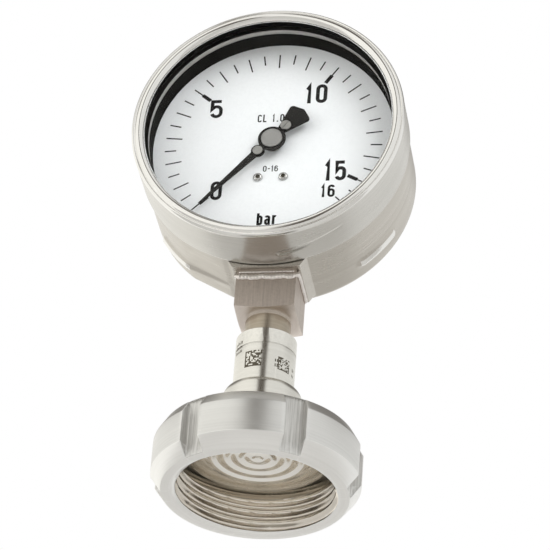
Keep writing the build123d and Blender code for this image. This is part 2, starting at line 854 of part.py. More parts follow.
HEAD_PARTS = {
    "case": case,
    "blowout_plug": blowout_plug,
    "bezel_ring": bezel_ring,
    "window_gasket": window_gasket,
    "window_glass": window_glass,
    "support_ring": support_ring,
    "dial_surround": dial_surround,
    "dial": dial,
    "dial_screws": dial_screws,
    "dial_standoffs": dial_standoffs,
    "pointer": pointer,
    "pointer_hub": pointer_hub,
    "pointer_rivet": pointer_rivet,
    "pointer_adjuster": pointer_adjuster,
    "front_plate": front_plate,
    "back_plate": back_plate,
    "plate_pillars": plate_pillars,
    "movement_screws": movement_screws,
    "pivot_bushes": pivot_bushes,
    "movement_bracket": movement_bracket,
    "bracket_screws": bracket_screws,
    "pinion_arbor": pinion_arbor,
    "sector_gear": sector_gear,
    "sector_arbor": sector_arbor,
    "tail_pin": tail_pin,
    "link": link,
    "tube_tip": tube_tip,
    "tip_screw": tip_screw,
    "bourdon_tube": bourdon_tube,
    "hairspring": hairspring,
    "hairspring_collet": hairspring_collet,
    "hairspring_stud": hairspring_stud,
}

STEM_PARTS = {
    "union_nut": union_nut,
    "seal_body": seal_body,
    "diaphragm": diaphragm,
    "fill_port_plug": fill_port_plug,
    "adapter_sleeve": adapter_sleeve,
    "socket_block": socket_block,
}

os.makedirs("parts", exist_ok=True)
for name, build in HEAD_PARTS.items():
    export_step(head * build(), f"parts/{name}.step")
for name, build in STEM_PARTS.items():
    export_step(build(), f"parts/{name}.step")
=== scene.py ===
import logging
import math
import random
from collections.abc import Callable, Sequence
from dataclasses import dataclass
from enum import Enum
from functools import cache

import bmesh
import bpy
from bmesh.types import BMesh, BMVert
from bpy.types import Material, Node, NodeSocket, NodeTree, Object
from mathutils import Matrix, Vector


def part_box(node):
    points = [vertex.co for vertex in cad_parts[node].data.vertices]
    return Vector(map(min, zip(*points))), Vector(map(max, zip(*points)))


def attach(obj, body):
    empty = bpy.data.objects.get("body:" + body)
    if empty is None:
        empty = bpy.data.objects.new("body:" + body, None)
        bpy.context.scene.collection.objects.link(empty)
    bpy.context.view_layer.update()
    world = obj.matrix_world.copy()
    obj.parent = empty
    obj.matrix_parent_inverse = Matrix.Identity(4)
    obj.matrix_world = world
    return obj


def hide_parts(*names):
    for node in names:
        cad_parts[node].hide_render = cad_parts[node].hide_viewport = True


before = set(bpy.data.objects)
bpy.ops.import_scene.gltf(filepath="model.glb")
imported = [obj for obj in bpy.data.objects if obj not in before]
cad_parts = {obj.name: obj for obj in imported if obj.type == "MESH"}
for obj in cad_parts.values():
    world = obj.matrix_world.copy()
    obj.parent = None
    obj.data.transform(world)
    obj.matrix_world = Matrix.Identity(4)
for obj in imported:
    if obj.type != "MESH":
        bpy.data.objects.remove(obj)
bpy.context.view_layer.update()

# Pressure gauge with a hygienic diaphragm seal and a slotted union nut.
# Metres in the shared frame; the sizes below are millimetres and go through MM.

MM: float = 0.001
LOG: logging.Logger = logging.getLogger("gauge")

Colour = tuple[float, float, float]
Point2 = tuple[float, float]
Outline = Sequence[Point2]
RadiusRule = Callable[[float, float, float], float]
Ring = list[BMVert]
FULL_TURN: float = 2 * math.pi
LONG_GRAIN: float = 0.03  # how much coarser brushed marks are along the brush
CORNER_SHARE: float = 0.4  # share of a side that one rounding may take
MITRE_FLOOR: float = 0.35  # keeps a stroke's sharp bends from reaching far out


# ---------------------------------------------------------------- placing

@dataclass(frozen=True)
class Placement:
    """Turns millimetres in a piece's own axes into metres in the shared frame."""

    origin: Vector
    turn: Matrix

    def at(self, x: float, y: float, z: float) -> Vector:
        """Point of the shared frame for a local point in millimetres."""
        return self.origin + self.turn @ Vector((x, y, z)) * MM

    @property
    def axis(self) -> Vector:
        """Unit vector of the local z axis."""
        return self.turn @ Vector((0.0, 0.0, 1.0))


def stem_placement() -> Placement:
    """Axes of the stem: z up, zero on the union nut's lower face."""
    low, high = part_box("union_nut")
    centre = (low + high) / 2
    return Placement(Vector((centre.x, centre.y, low.z)), Matrix.Identity(3))


def dial_placement() -> Placement:
    """Axes of the head: x right, y up, z out of the dial, zero on its printed face."""
    low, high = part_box("dial")
    centre = (low + high) / 2
    columns = Matrix(((1.0, 0.0, 0.0), (0.0, 0.0, -1.0), (0.0, 1.0, 0.0)))
    return Placement(Vector((centre.x, low.y, centre.z)), columns)


STEM: Placement = stem_placement()
DIAL: Placement = dial_placement()


# ---------------------------------------------------------------- mesh making

class Shaper:
    """Makes meshes for turned, printed and welded pieces."""

    @staticmethod
    def object_from(name: str, mesh_data: BMesh, sharp: float = 32.0) -> Object:
        """Links a new object with smooth faces and sharp creases.

        Args:
            name: plain name of the piece.
            mesh_data: the geometry, freed here.
            sharp: angle in degrees above which an edge stays crisp.

        Returns:
            The new object, at the frame's origin.
        """
        bmesh.ops.recalc_face_normals(mesh_data, faces=mesh_data.faces)
        mesh = bpy.data.meshes.new(name)
        mesh_data.to_mesh(mesh)
        mesh_data.free()
        mesh.shade_smooth()
        mesh.set_sharp_from_angle(angle=math.radians(sharp))
        piece = bpy.data.objects.new(name, mesh)
        bpy.context.scene.collection.objects.link(piece)
        return piece

    @staticmethod
    def soften(outline: Outline, radius: float, steps: int = 3) -> list[Point2]:
        """Rounds every corner of a closed outline.

        Args:
            outline: closed loop of (radius, height) points.
            radius: largest distance taken back from a corner along each side.
            steps: number of chords in each rounding.

        Returns:
            The rounded loop.
        """
        count = len(outline)
        rounded: list[Point2] = []
        for index, corner in enumerate(outline):
            here = Vector(corner)
            before = Vector(outline[index - 1]) - here
            after = Vector(outline[(index + 1) % count]) - here
            if corner[0] == 0.0:
                rounded.append(corner)
                continue
            back = before.normalized() * min(radius, before.length * CORNER_SHARE)
            ahead = after.normalized() * min(radius, after.length * CORNER_SHARE)
            for step in range(steps + 1):
                share = step / steps
                point = here + back * (1 - share) ** 2 + ahead * share ** 2
                rounded.append((point.x, point.y))
        return rounded

    @staticmethod
    def divide(outline: Outline, longest: float) -> list[Point2]:
        """Adds points along the long sides of a closed outline.

        Args:
            outline: closed loop of (radius, height) points.
            longest: greatest length left in one side.

        Returns:
            The finer loop.
        """
        finer: list[Point2] = []
        for index, start in enumerate(outline):
            finish = outline[(index + 1) % len(outline)]
            parts = max(1, math.ceil(math.dist(start, finish) / longest))
            for part in range(parts):
                share = part / parts
                finer.append((
                    start[0] + (finish[0] - start[0]) * share,
                    start[1] + (finish[1] - start[1]) * share
                ))
        return finer

    @classmethod
    def lathe(
        cls,
        name: str,
        outline: Outline,
        place: Placement,
        angles: Sequence[float] | int = 192,
        rule: RadiusRule | None = None,
        sharp: float = 32.0,
    ) -> Object:
        """Turns a closed outline about the local z axis.

        Args:
            name: plain name of the piece.
            outline: closed loop of (radius, height) points in millimetres.
            place: axes that the piece is drawn in.
            angles: angles in radians of its columns, or how many even ones.
            rule: gives the true radius from (angle, radius, height).
            sharp: angle in degrees above which an edge stays crisp.

        Returns:
            The new object.
        """
        if isinstance(angles, int):
            angles = [FULL_TURN * step / angles for step in range(angles)]
        grid = bmesh.new()
        rings: list[Ring] = []
        for radius, height in outline:
            if radius == 0.0:
                rings.append([grid.verts.new(place.at(0.0, 0.0, height))])
                continue
            ring = []
            for angle in angles:
                true = rule(angle, radius, height) if rule else radius
                ring.append(
                    grid.verts.new(place.at(true * math.cos(angle), true * math.sin(angle), height))
                )
            rings.append(ring)
        cls.skin(grid, rings)
        return cls.object_from(name, grid, sharp)

    @classmethod
    def skin(cls, grid: BMesh, rings: Sequence[Ring]) -> None:
        """Joins each ring to the next one, and the last to the first.

        Args:
            grid: mesh that gets the faces.
            rings: rings of vertices, in order.
        """
        for index, ring in enumerate(rings):
            cls.bridge(grid, ring, rings[(index + 1) % len(rings)])

    @staticmethod
    def paint(piece: Object, rule: Callable[[Vector], bool]) -> None:
        """Gives the second material to the faces that a rule picks.

        Args:
            piece: the piece to paint.
            rule: True for the centre of a face that gets it.
        """
        for face in piece.data.polygons:
            face.material_index = int(rule(face.center))

    @staticmethod
    def bridge(grid: BMesh, first: Ring, second: Ring) -> None:
        """Fills the band between two rings, either of which may be a single point.

        Args:
            grid: mesh that gets the faces.
            first: one ring of vertices.
            second: the next ring of vertices.
        """
        if len(first) == 1 and len(second) == 1:
            return
        count = max(len(first), len(second))
        for step in range(count):
            after = (step + 1) % count
            corners = [
                first[step % len(first)],
                first[after % len(first)],
                second[after % len(second)],
                second[step % len(second)],
            ]
            unique = list(dict.fromkeys(corners))
            grid.faces.new(unique)

    @staticmethod
    def ribbon(
        grid: BMesh,
        path: Sequence[Point2],
        width: float,
        place: Placement,
        height: float,
        thickness: float = 0.03,
        closed: bool = False,
    ) -> None:
        """Adds a flat printed stroke that follows a path on the dial.

        Args:
            grid: mesh that gets the stroke.
            path: points of the stroke's middle line in millimetres.
            width: width of the stroke.
            place: axes that the path is drawn in.
            height: height of the stroke's upper face.
            thickness: depth of the ink.
            closed: True if the stroke joins its own start.
        """
        count = len(path)
        sides: list[tuple[Vector, Vector]] = []
        for index, point in enumerate(path):
            here = Vector(point)
            before = Vector(path[index - 1]) if closed or index else here
            after = Vector(path[(index + 1) % count]) if closed or index < count - 1 else here
            arriving = (
                here - before
            ).normalized() if (here - before).length else (after - here).normalized()
            leaving = (after - here).normalized() if (after - here).length else arriving
            along = (arriving + leaving).normalized()
            across = Vector((-along.y, along.x))
            reach = width / 2 / max(MITRE_FLOOR, abs(across.dot(Vector((-leaving.y, leaving.x)))))
            sides.append((here + across * reach, here - across * reach))
        rows = [
            [grid.verts.new(place.at(p.x, p.y, z)) for p in pair for z in (
                height, height - thickness
            )]
            for pair in sides
        ]
        for index in range(count if closed else count - 1):
            a, b = rows[index], rows[(index + 1) % count]
            for first, second in ((0, 2), (2, 3), (3, 1), (1, 0)):
                grid.faces.new((a[first], a[second], b[second], b[first]))
        if not closed:
            for row in (rows[0], rows[-1]):
                grid.faces.new((row[0], row[2], row[3], row[1]))


# ---------------------------------------------------------------- node groups

class Sheet:
    """Short-hand for filling a node tree."""

    def __init__(self, tree: NodeTree) -> None:
        """Keeps the tree to fill."""
        self.tree = tree

    def add(
        self, kind: str, values: dict[str | int, object] | None = None, **settings: object
    ) -> Node:
        """Adds a node and sets its properties and sockets.

        Args:
            kind: node type without its ShaderNode prefix.
            values: socket name or number, and either a value or a socket to join.
            settings: properties of the node.

        Returns:
            The new node.
        """
        node = self.tree.nodes.new(
            "ShaderNode" + kind if not kind.startswith("NodeGroup") else kind
        )
        for key, value in settings.items():
            setattr(node, key, value)
        for key, value in (values or {}).items():
            if isinstance(value, NodeSocket):
                self.tree.links.new(value, node.inputs[key])
            else:
                node.inputs[key].default_value = value
        return node

    def math(
        self, operation: str, first: object, second: object = 0.0, third: object = 0.0
    ) -> NodeSocket:
        """Output of a Math node.

        Args:
            operation: the node's operation.
            first: value or socket.
            second: value or socket.
            third: value or socket.

        Returns:
            The result's socket.
        """
        return self.add("Math", {0: first, 1: second, 2: third}, operation=operation).outputs[0]

    def vector(self, operation: str, first: object, second: object = (0.0, 0.0, 0.0)) -> Node:
        """Adds a Vector Math node.

        Args:
            operation: the node's operation.
            first: vector or socket.
            second: vector or socket.

        Returns:
            The node, since some operations give a value and not a vector.
        """
        return self.add("VectorMath", {0: first, 1: second}, operation=operation)

    def spread(
        self, value: object, low: float, high: float, to_low: float, to_high: float
    ) -> NodeSocket:
        """Maps a range onto another and clamps it.

        Args:
            value: socket to map.
            low: start of the range read.
            high: end of the range read.
            to_low: value given at low.
            to_high: value given at high.

        Returns:
            The result's socket.
        """
        return self.add("MapRange", {0: value, 1: low, 2: high, 3: to_low, 4: to_high}).outputs[0]

    def join(self, socket: NodeSocket, node: Node, label: str) -> None:
        """Links a socket to a node's named input."""
        self.tree.links.new(socket, node.inputs[label])

    def place(self) -> NodeSocket:
        """Point of the surface in the object's own axes."""
        return self.add("TexCoord").outputs["Object"]

    def scaled(self, vector: object, share: object) -> NodeSocket:
        """Vector times a number."""
        return self.add("VectorMath", {0: vector, "Scale": share}, operation="SCALE").outputs[0]

    def noise(self, vector: object, scale: object, detail: float, **more: object) -> NodeSocket:
        """Value of a noise texture.

        Args:
            vector: where it is read.
            scale: how fine it is.
            detail: number of finer layers.
            more: other inputs, such as Roughness.

        Returns:
            The value's socket.
        """
        return self.add(
            "TexNoise", {"Vector": vector, "Scale": scale, "Detail": detail, **more}
        ).outputs[0]

    def weighed(self, first: object, share: float, second: object) -> NodeSocket:
        """Sum of two values, the first with its share and the second with the rest.

        Args:
            first: value or socket.
            share: weight of the first.
            second: value or socket.

        Returns:
            The sum's socket.
        """
        rest = round(1 - share, 6)
        return self.math(
            "ADD", self.math("MULTIPLY", first, share), self.math("MULTIPLY", second, rest)
        )

    def group(self, tree: NodeTree, **values: object) -> Node:
        """Adds a node group; an input's name has a line in place of each space."""
        named = {key.replace("_", " "): value for key, value in values.items()}
        return self.add("Group", named, node_tree=tree)

    def blend(self, share: object, first: object, second: object) -> NodeSocket:
        """Mixes two colours.

        Args:
            share: value or socket, 0 for the first colour.
            first: colour or socket.
            second: colour or socket.

        Returns:
            The mixed colour's socket.
        """
        node = self.add("Mix", {0: share, 6: first, 7: second}, data_type="RGBA")
        return node.outputs[2]


def opaque(colour: Colour) -> tuple[float, float, float, float]:
    """Colour with a full alpha."""
    return (*colour, 1.0)


class SurfaceGroups:
    """Shared surface effects, each a node group that is built once."""

    @staticmethod
    def _start(
        name: str, inputs: dict[str, object], outputs: Sequence[str],
    ) -> tuple[Sheet, Node, Node]:
        """Makes an empty group with its named sockets.

        Args:
            name: the group's name.
            inputs: first value of each input, a number or a vector.
            outputs: name of each output, all of them numbers.

        Returns:
            The sheet to fill, the input node and the output node.
        """
        tree = bpy.data.node_groups.new(name, "ShaderNodeTree")
        for label, value in inputs.items():
            kind = "NodeSocketFloat" if isinstance(value, float) else "NodeSocketVector"
            tree.interface.new_socket(label, in_out="INPUT", socket_type=kind).default_value = value
        for label in outputs:
            tree.interface.new_socket(label, in_out="OUTPUT", socket_type="NodeSocketFloat")
        sheet = Sheet(tree)
        return sheet, sheet.add("NodeGroupInput"), sheet.add("NodeGroupOutput")

    @cache
    def turning_marks(self) -> NodeTree:
        """Fine rings that a lathe tool leaves round an axis.

        Returns:
            Group with Height and Tone outputs.
        """
        inputs = {"Axis Point": (0.0, 0.0, 0.0), "Axis": (0.0, 0.0, 1.0), "Marks": 1500.0}
        sheet, into, out = self._start("turning marks", inputs, ("Height", "Tone"))
        axis, marks = into.outputs["Axis"], into.outputs["Marks"]
        away = sheet.vector("SUBTRACT", sheet.place(), into.outputs["Axis Point"]).outputs[0]
        along = sheet.vector("DOT_PRODUCT", away, axis).outputs["Value"]
        flat = sheet.vector("SUBTRACT", away, sheet.scaled(axis, along)).outputs[0]
        radius = sheet.vector("LENGTH", flat).outputs["Value"]
        rings = sheet.add("CombineXYZ", {
            0: sheet.math("MULTIPLY", along, marks), 1: sheet.math("MULTIPLY", radius, marks),
        }).outputs[0]
        spot = sheet.vector("ADD", rings, sheet.scaled(flat, 22.0)).outputs[0]
        fine = sheet.noise(spot, 1.0, 3.0, Roughness=0.6)
        broad = sheet.noise(sheet.scaled(rings, 0.13), 1.0, 2.0)
        sheet.join(fine, out, "Height")
        sheet.join(sheet.spread(sheet.weighed(fine, 0.6, broad), 0.32, 0.68, 0.0, 1.0), out, "Tone")
        return sheet.tree

    @cache
    def brush_lines(self) -> NodeTree:
        """Straight grain that a belt leaves, long along the axis with the small stretch.

        Returns:
            Group with Height and Tone outputs.
        """
        inputs = {"Stretch": (2600.0, 2600.0, 60.0)}
        sheet, into, out = self._start("brush lines", inputs, ("Height", "Tone"))
        spot = sheet.vector("MULTIPLY", sheet.place(), into.outputs["Stretch"]).outputs[0]
        self._finish(sheet, sheet.noise(spot, 1.0, 4.0, Roughness=0.65), out)
        return sheet.tree

    @cache
    def edge_wear(self) -> NodeTree:
        """Mask of the rubbed outer edges.

        Returns:
            Group with a Mask output.
        """
        sheet, into, out = self._start("edge wear", {"Amount": 1.0, "Grain": 900.0}, ("Mask",))
        edge = sheet.spread(sheet.add("NewGeometry").outputs["Pointiness"], 0.51, 0.58, 0.0, 1.0)
        noise = sheet.noise(sheet.place(), into.outputs["Grain"], 3.0)
        broken = sheet.spread(noise, 0.35, 0.6, 0.35, 1.0)
        worn = sheet.math("MULTIPLY", sheet.math("MULTIPLY", edge, broken), into.outputs["Amount"])
        sheet.join(worn, out, "Mask")
        return sheet.tree

    @cache
    def handling(self) -> NodeTree:
        """Soft uneven patches where the part has been wiped and handled.

        Returns:
            Group with a Mask output.
        """
        sheet, into, out = self._start("handling marks", {"Size": 45.0, "Hardness": 0.5}, ("Mask",))
        hardness = into.outputs["Hardness"]
        broad = sheet.noise(
            sheet.place(), into.outputs["Size"], 5.0, Roughness=hardness, Distortion=0.4
        )
        sheet.join(sheet.spread(broad, 0.3, 0.7, 0.0, 1.0), out, "Mask")
        return sheet.tree

    @cache
    def fine_grain(self) -> NodeTree:
        """Even grain of moulded, painted and blasted faces.

        Returns:
            Group with Height and Tone outputs.
        """
        sheet, into, out = self._start("fine grain", {"Grain": 2500.0}, ("Height", "Tone"))
        self._finish(
            sheet, sheet.noise(sheet.place(), into.outputs["Grain"], 3.0, Roughness=0.6), out
        )
        return sheet.tree

    @staticmethod
    def _finish(sheet: Sheet, pits: NodeSocket, out: Node) -> None:
        """Gives a noise as the height, and stretched as the tone.

        Args:
            sheet: the group's sheet.
            pits: the noise.
            out: the group's output node.
        """
        sheet.join(pits, out, "Height")
        sheet.join(sheet.spread(pits, 0.3, 0.7, 0.0, 1.0), out, "Tone")


GROUPS: SurfaceGroups = SurfaceGroups()


# ---------------------------------------------------------------- finishes

class Lay(Enum):
    """Direction that the marks of a finish run in."""

    ROUND_STEM = "rings round the stem"
    ROUND_DIAL = "rings round the dial's axis"
    UPRIGHT = "straight grain, up the stem"
    ACROSS = "straight grain, from side to side"
    EVEN = "no direction"


@dataclass(frozen=True)
class Finish:
    """A finish that becomes one material."""

    name: str

    def build(self) -> Material:
        """Makes the material, once.

        Returns:
            The material of this name.
        """
        ready = bpy.data.materials.get(self.name)
        if ready:
            return ready
        material = bpy.data.materials.new(self.name)
        material.use_nodes = True
        self._fill(Sheet(material.node_tree), material.node_tree.nodes["Principled BSDF"])
        return material

    def _fill(self, sheet: Sheet, shader: Node) -> None:
        """Fills the material's nodes.

        Args:
            sheet: tree of the material.
            shader: its surface shader.
        """
        raise NotImplementedError


@dataclass(frozen=True)
class GrainedFinish(Finish):
    """A finish in two tones, with fine relief and rubbed edges."""

    bright: Colour
    dull: Colour
    roughness: float

    def _colour(
        self, sheet: Sheet, shader: Node, tone: object, wear: object, rubbed: Sequence[float],
    ) -> None:
        """Sets the base colour.

        Args:
            sheet: tree of the material.
            shader: its surface shader.
            tone: 0 for the dull tone and 1 for the bright one.
            wear: 1 where the edge is rubbed.
            rubbed: colour of the rubbed edges.
        """
        colour = sheet.blend(tone, opaque(self.dull), opaque(self.bright))
        edge = opaque(tuple(min(1.0, channel) for channel in rubbed))
        sheet.join(sheet.blend(wear, colour, edge), shader, "Base Color")

    def _rough(self, sheet: Sheet, tone: object, spread: float) -> NodeSocket:
        """Roughness that falls as the tone brightens.

        Args:
            sheet: tree of the material.
            tone: 0 for the dull tone and 1 for the bright one.
            spread: difference between the two.

        Returns:
            The roughness's socket.
        """
        low, high = self.roughness - spread / 2, self.roughness + spread / 2
        return sheet.spread(tone, 0.0, 1.0, high, low)

    @staticmethod
    def _relief(sheet: Sheet, shader: Node, grain: Node, strength: float, depth: float) -> None:
        """Sets the normal from the grain's height.

        Args:
            sheet: tree of the material.
            shader: its surface shader.
            grain: group that gives the height.
            strength: share of the relief that shows.
            depth: depth of the relief in millimetres.
        """
        values = {"Strength": strength, "Distance": depth * MM, "Height": grain.outputs["Height"]}
        sheet.join(sheet.add("Bump", values).outputs[0], shader, "Normal")


@dataclass(frozen=True)
class MetalFinish(GrainedFinish):
    """Bare metal with its tool marks, rubbed edges and handling."""

    spread: float = 0.08
    lay: Lay = Lay.EVEN
    marks: float = 1500.0
    depth: float = 0.012
    wear: float = 0.4
    anisotropic: float = 0.0

    def _fill(self, sheet: Sheet, shader: Node) -> None:
        """Fills the material's nodes, as the base says."""
        shader.inputs["Metallic"].default_value = 1.0
        shader.inputs["Anisotropic"].default_value = self.anisotropic
        grain = self._grain(sheet)
        handled = sheet.group(GROUPS.handling()).outputs["Mask"]
        wear = sheet.group(GROUPS.edge_wear(), Amount=self.wear).outputs["Mask"]
        tone = sheet.weighed(grain.outputs["Tone"], 0.75, handled)
        self._colour(sheet, shader, tone, wear, [channel * 1.15 for channel in self.bright])
        rough = sheet.math("ADD", self._rough(sheet, grain.outputs["Tone"], self.spread),
                           sheet.spread(handled, 0.0, 1.0, -0.02, 0.03))
        rough = sheet.math("SUBTRACT", rough, sheet.math("MULTIPLY", wear, 0.05))
        sheet.join(rough, shader, "Roughness")
        self._relief(sheet, shader, grain, 0.5, self.depth)

    def _grain(self, sheet: Sheet) -> Node:
        """Places the group that draws this finish's marks.

        Args:
            sheet: tree of the material.

        Returns:
            The group's node.
        """
        marks, long = self.marks, self.marks * LONG_GRAIN
        if self.lay in (Lay.ROUND_STEM, Lay.ROUND_DIAL):
            place = STEM if self.lay is Lay.ROUND_STEM else DIAL
            return sheet.group(
                GROUPS.turning_marks(), Axis_Point=place.origin, Axis=place.axis, Marks=marks
            )
        if self.lay is Lay.UPRIGHT:
            return sheet.group(GROUPS.brush_lines(), Stretch=(marks, marks, long))
        if self.lay is Lay.ACROSS:
            return sheet.group(GROUPS.brush_lines(), Stretch=(long, marks, marks))
        return sheet.group(GROUPS.fine_grain(), Grain=marks)


@dataclass(frozen=True)
class CoatFinish(GrainedFinish):
    """Paint, ink, rubber or moulded plastic."""

    spread: float = 0.1
    grain: float = 2500.0
    depth: float = 0.01
    specular: float = 0.5

    def _fill(self, sheet: Sheet, shader: Node) -> None:
        """Fills the material's nodes, as the base says."""
        shader.inputs["Specular IOR Level"].default_value = self.specular
        grain = sheet.group(GROUPS.fine_grain(), Grain=self.grain)
        handled = sheet.group(GROUPS.handling(), Size=30.0).outputs["Mask"]
        wear = sheet.group(GROUPS.edge_wear(), Amount=0.3).outputs["Mask"]
        tone = sheet.weighed(grain.outputs["Tone"], 0.5, handled)
        self._colour(sheet, shader, tone, wear, [channel * 1.1 + 0.01 for channel in self.bright])
        sheet.join(self._rough(sheet, tone, self.spread), shader, "Roughness")
        self._relief(sheet, shader, grain, 0.4, self.depth)


@dataclass(frozen=True)
class GlassFinish(Finish):
    """Clear window glass that lets light through to the dial."""

    roughness: float = 0.015
    ior: float = 1.02
    sheen_coat: float = 0.08

    def _fill(self, sheet: Sheet, shader: Node) -> None:
        """Fills the material's nodes, as the base says."""
        values = {"Transmission Weight": 1.0, "IOR": self.ior, "Coat Weight": self.sheen_coat,
                  "Base Color": opaque((1.0, 1.0, 1.0))}
        for label, value in values.items():
            shader.inputs[label].default_value = value
        handled = sheet.group(GROUPS.handling(), Size=25.0).outputs["Mask"]
        sheet.join(sheet.spread(handled, 0.4, 1.0, 0.0, self.roughness), shader, "Roughness")
        shadow = sheet.add("LightPath").outputs["Is Shadow Ray"]
        clear = sheet.add("BsdfTransparent").outputs[0]
        mix = sheet.add("MixShader", {0: shadow, 1: shader.outputs[0], 2: clear})
        sheet.join(mix.outputs[0], sheet.tree.nodes["Material Output"], "Surface")


class Finishes:
    """Every finish of the gauge."""

    CASE = MetalFinish(
        "satin case steel", (0.64, 0.61, 0.565), (0.53, 0.5, 0.455), 0.29, 0.08, Lay.ROUND_DIAL,
        1400.0,
    )
    BEZEL = MetalFinish(
        "satin bezel steel", (0.69, 0.675, 0.645), (0.6, 0.585, 0.555), 0.25, 0.06, Lay.ROUND_DIAL,
        1900.0, 0.006,
    )
    # Painted highlight: smoother steel, also painted lighter, for the bezel's front and the crests
    # of the case ribs.
    LIP_HIGHLIGHT = MetalFinish(
        "bezel lip steel painted highlight", (0.92, 0.91, 0.89), (0.83, 0.82, 0.8), 0.13, 0.04, Lay.ROUND_DIAL,
        1900.0, 0.004,
    )
    NUT = MetalFinish(
        "machined nut steel", (0.78, 0.775, 0.76), (0.67, 0.665, 0.65), 0.33, 0.1, Lay.ROUND_STEM,
        1300.0, 0.016, 0.6,
    )
    # Painted light: lighter steel for the nut's downward faces, its lower chamfer, lower face and
    # thread mouth.
    MOUTH_PAINTED_LIGHT = MetalFinish(
        "mouth steel painted light", (0.95, 0.945, 0.935), (0.87, 0.865, 0.85), 0.34, 0.1, Lay.ROUND_STEM,
        1300.0, 0.012,
    )
    THREAD = MetalFinish(
        "cut thread steel", (0.95, 0.9, 0.83), (0.68, 0.63, 0.56), 0.13, 0.05, Lay.ROUND_STEM,
        1700.0, 0.006,
    )
    SLOT = MetalFinish(
        "milled slot steel", (0.92, 0.915, 0.9), (0.44, 0.43, 0.41), 0.5, 0.16, Lay.UPRIGHT, 1300.0,
        0.09, 0.6,
    )
    # Dark steel for the laser marks, and painted shade inside the screws' drives.
    BURNT_AND_SHADE = MetalFinish(
        "laser burnt steel and painted shade", (0.17, 0.15, 0.12), (0.09, 0.08, 0.06), 0.55, 0.12, Lay.EVEN, 4000.0,
    )
    FLOOR = CoatFinish(
        "pale studio floor", (0.95, 0.945, 0.94), (0.92, 0.915, 0.91), 0.7, 0.1, 40.0,
    )
    SEAL = MetalFinish(
        "turned seal steel", (0.92, 0.87, 0.79), (0.8, 0.75, 0.67), 0.26, 0.06, Lay.ROUND_STEM,
        1600.0, 0.008,
    )
    FOIL = MetalFinish(
        "polished diaphragm steel", (0.98, 0.96, 0.93), (0.92, 0.9, 0.86), 0.12, 0.04,
        Lay.ROUND_STEM, 2200.0, 0.003,
    )
    SLEEVE = MetalFinish(
        "turned sleeve steel", (0.8, 0.785, 0.74), (0.71, 0.695, 0.65), 0.2, 0.05, Lay.ROUND_STEM,
        1800.0, 0.006,
    )
    BLOCK = MetalFinish(
        "brushed block steel", (0.56, 0.495, 0.445), (0.38, 0.33, 0.295), 0.44, 0.1, Lay.UPRIGHT,
        2600.0, 0.014,
    )
    CONE = MetalFinish(
        "turned block steel", (0.85, 0.77, 0.72), (0.7, 0.63, 0.58), 0.34, 0.08, Lay.ROUND_STEM,
        2000.0, 0.008,
    )
    # Painted reflection: dark brown steel for the neck, standing in for the block's underside
    # mirrored in it.
    NECK_PAINTED_REFLECTION = MetalFinish(
        "neck steel painted reflection", (0.5, 0.44, 0.36), (0.38, 0.33, 0.26), 0.34, 0.08, Lay.ROUND_STEM,
        2000.0, 0.008,
    )
    WELD = MetalFinish(
        "weld bead steel", (0.8, 0.76, 0.73), (0.66, 0.61, 0.58), 0.2, 0.1, Lay.EVEN, 900.0, 0.02,
    )
    SCREW = MetalFinish(
        "bright screw steel", (0.6, 0.6, 0.585), (0.45, 0.45, 0.44), 0.26, 0.08, Lay.EVEN, 3000.0,
        0.006,
    )
    RIVET = MetalFinish(
        "dull rivet steel", (0.4, 0.4, 0.39), (0.3, 0.3, 0.29), 0.34, 0.08, Lay.EVEN, 3000.0, 0.006,
    )
    CAP = MetalFinish(
        "brushed cap steel", (0.48, 0.48, 0.475), (0.27, 0.27, 0.265), 0.34, 0.08, Lay.ROUND_DIAL,
        2400.0, 0.008,
    )
    MOVEMENT = MetalFinish(
        "movement plate steel", (0.5, 0.48, 0.45), (0.4, 0.38, 0.35), 0.34, 0.08, Lay.ACROSS,
        2200.0,
    )
    BRONZE = MetalFinish(
        "bearing bronze", (0.55, 0.4, 0.24), (0.44, 0.31, 0.18), 0.34, 0.08, Lay.EVEN, 2600.0,
    )
    SPRING = MetalFinish(
        "spring strip alloy", (0.6, 0.5, 0.38), (0.5, 0.41, 0.31), 0.24, 0.06, Lay.EVEN, 4000.0,
    )
    TUBE = MetalFinish(
        "drawn tube steel", (0.66, 0.63, 0.58), (0.55, 0.52, 0.47), 0.26, 0.08, Lay.ROUND_DIAL,
        900.0,
    )
    INNER_RING = MetalFinish(
        "dull ring steel", (0.5, 0.485, 0.46), (0.36, 0.35, 0.33), 0.34, 0.1, Lay.ROUND_DIAL,
        1500.0,
    )
    SURROUND = CoatFinish(
        "black surround plastic", (0.006, 0.005, 0.004), (0.003, 0.003, 0.002), 0.7, specular=0.04,
    )
    RUBBER = CoatFinish(
        "black gasket rubber", (0.014, 0.013, 0.012), (0.007, 0.007, 0.007), 0.6, grain=1800.0,
        specular=0.2,
    )
    PLUG = CoatFinish(
        "black plug rubber", (0.03, 0.03, 0.032), (0.018, 0.018, 0.02), 0.6, grain=1500.0,
        depth=0.03,
    )
    DIAL = CoatFinish(
        "white dial paint", (0.845, 0.87, 0.89), (0.81, 0.84, 0.865), 0.5, 0.1, 3500.0, 0.003, 0.3,
    )
    INK = CoatFinish(
        "black dial ink", (0.012, 0.011, 0.011), (0.007, 0.007, 0.007), 0.55, 0.1, 4000.0, 0.002,
        0.2,
    )
    LACQUER = CoatFinish(
        "black pointer lacquer", (0.011, 0.01, 0.009), (0.006, 0.006, 0.005), 0.5, 0.1, 3000.0,
        0.006, 0.2,
    )
    GLASS = GlassFinish("clear window glass")


# ---------------------------------------------------------------- sub-assemblies

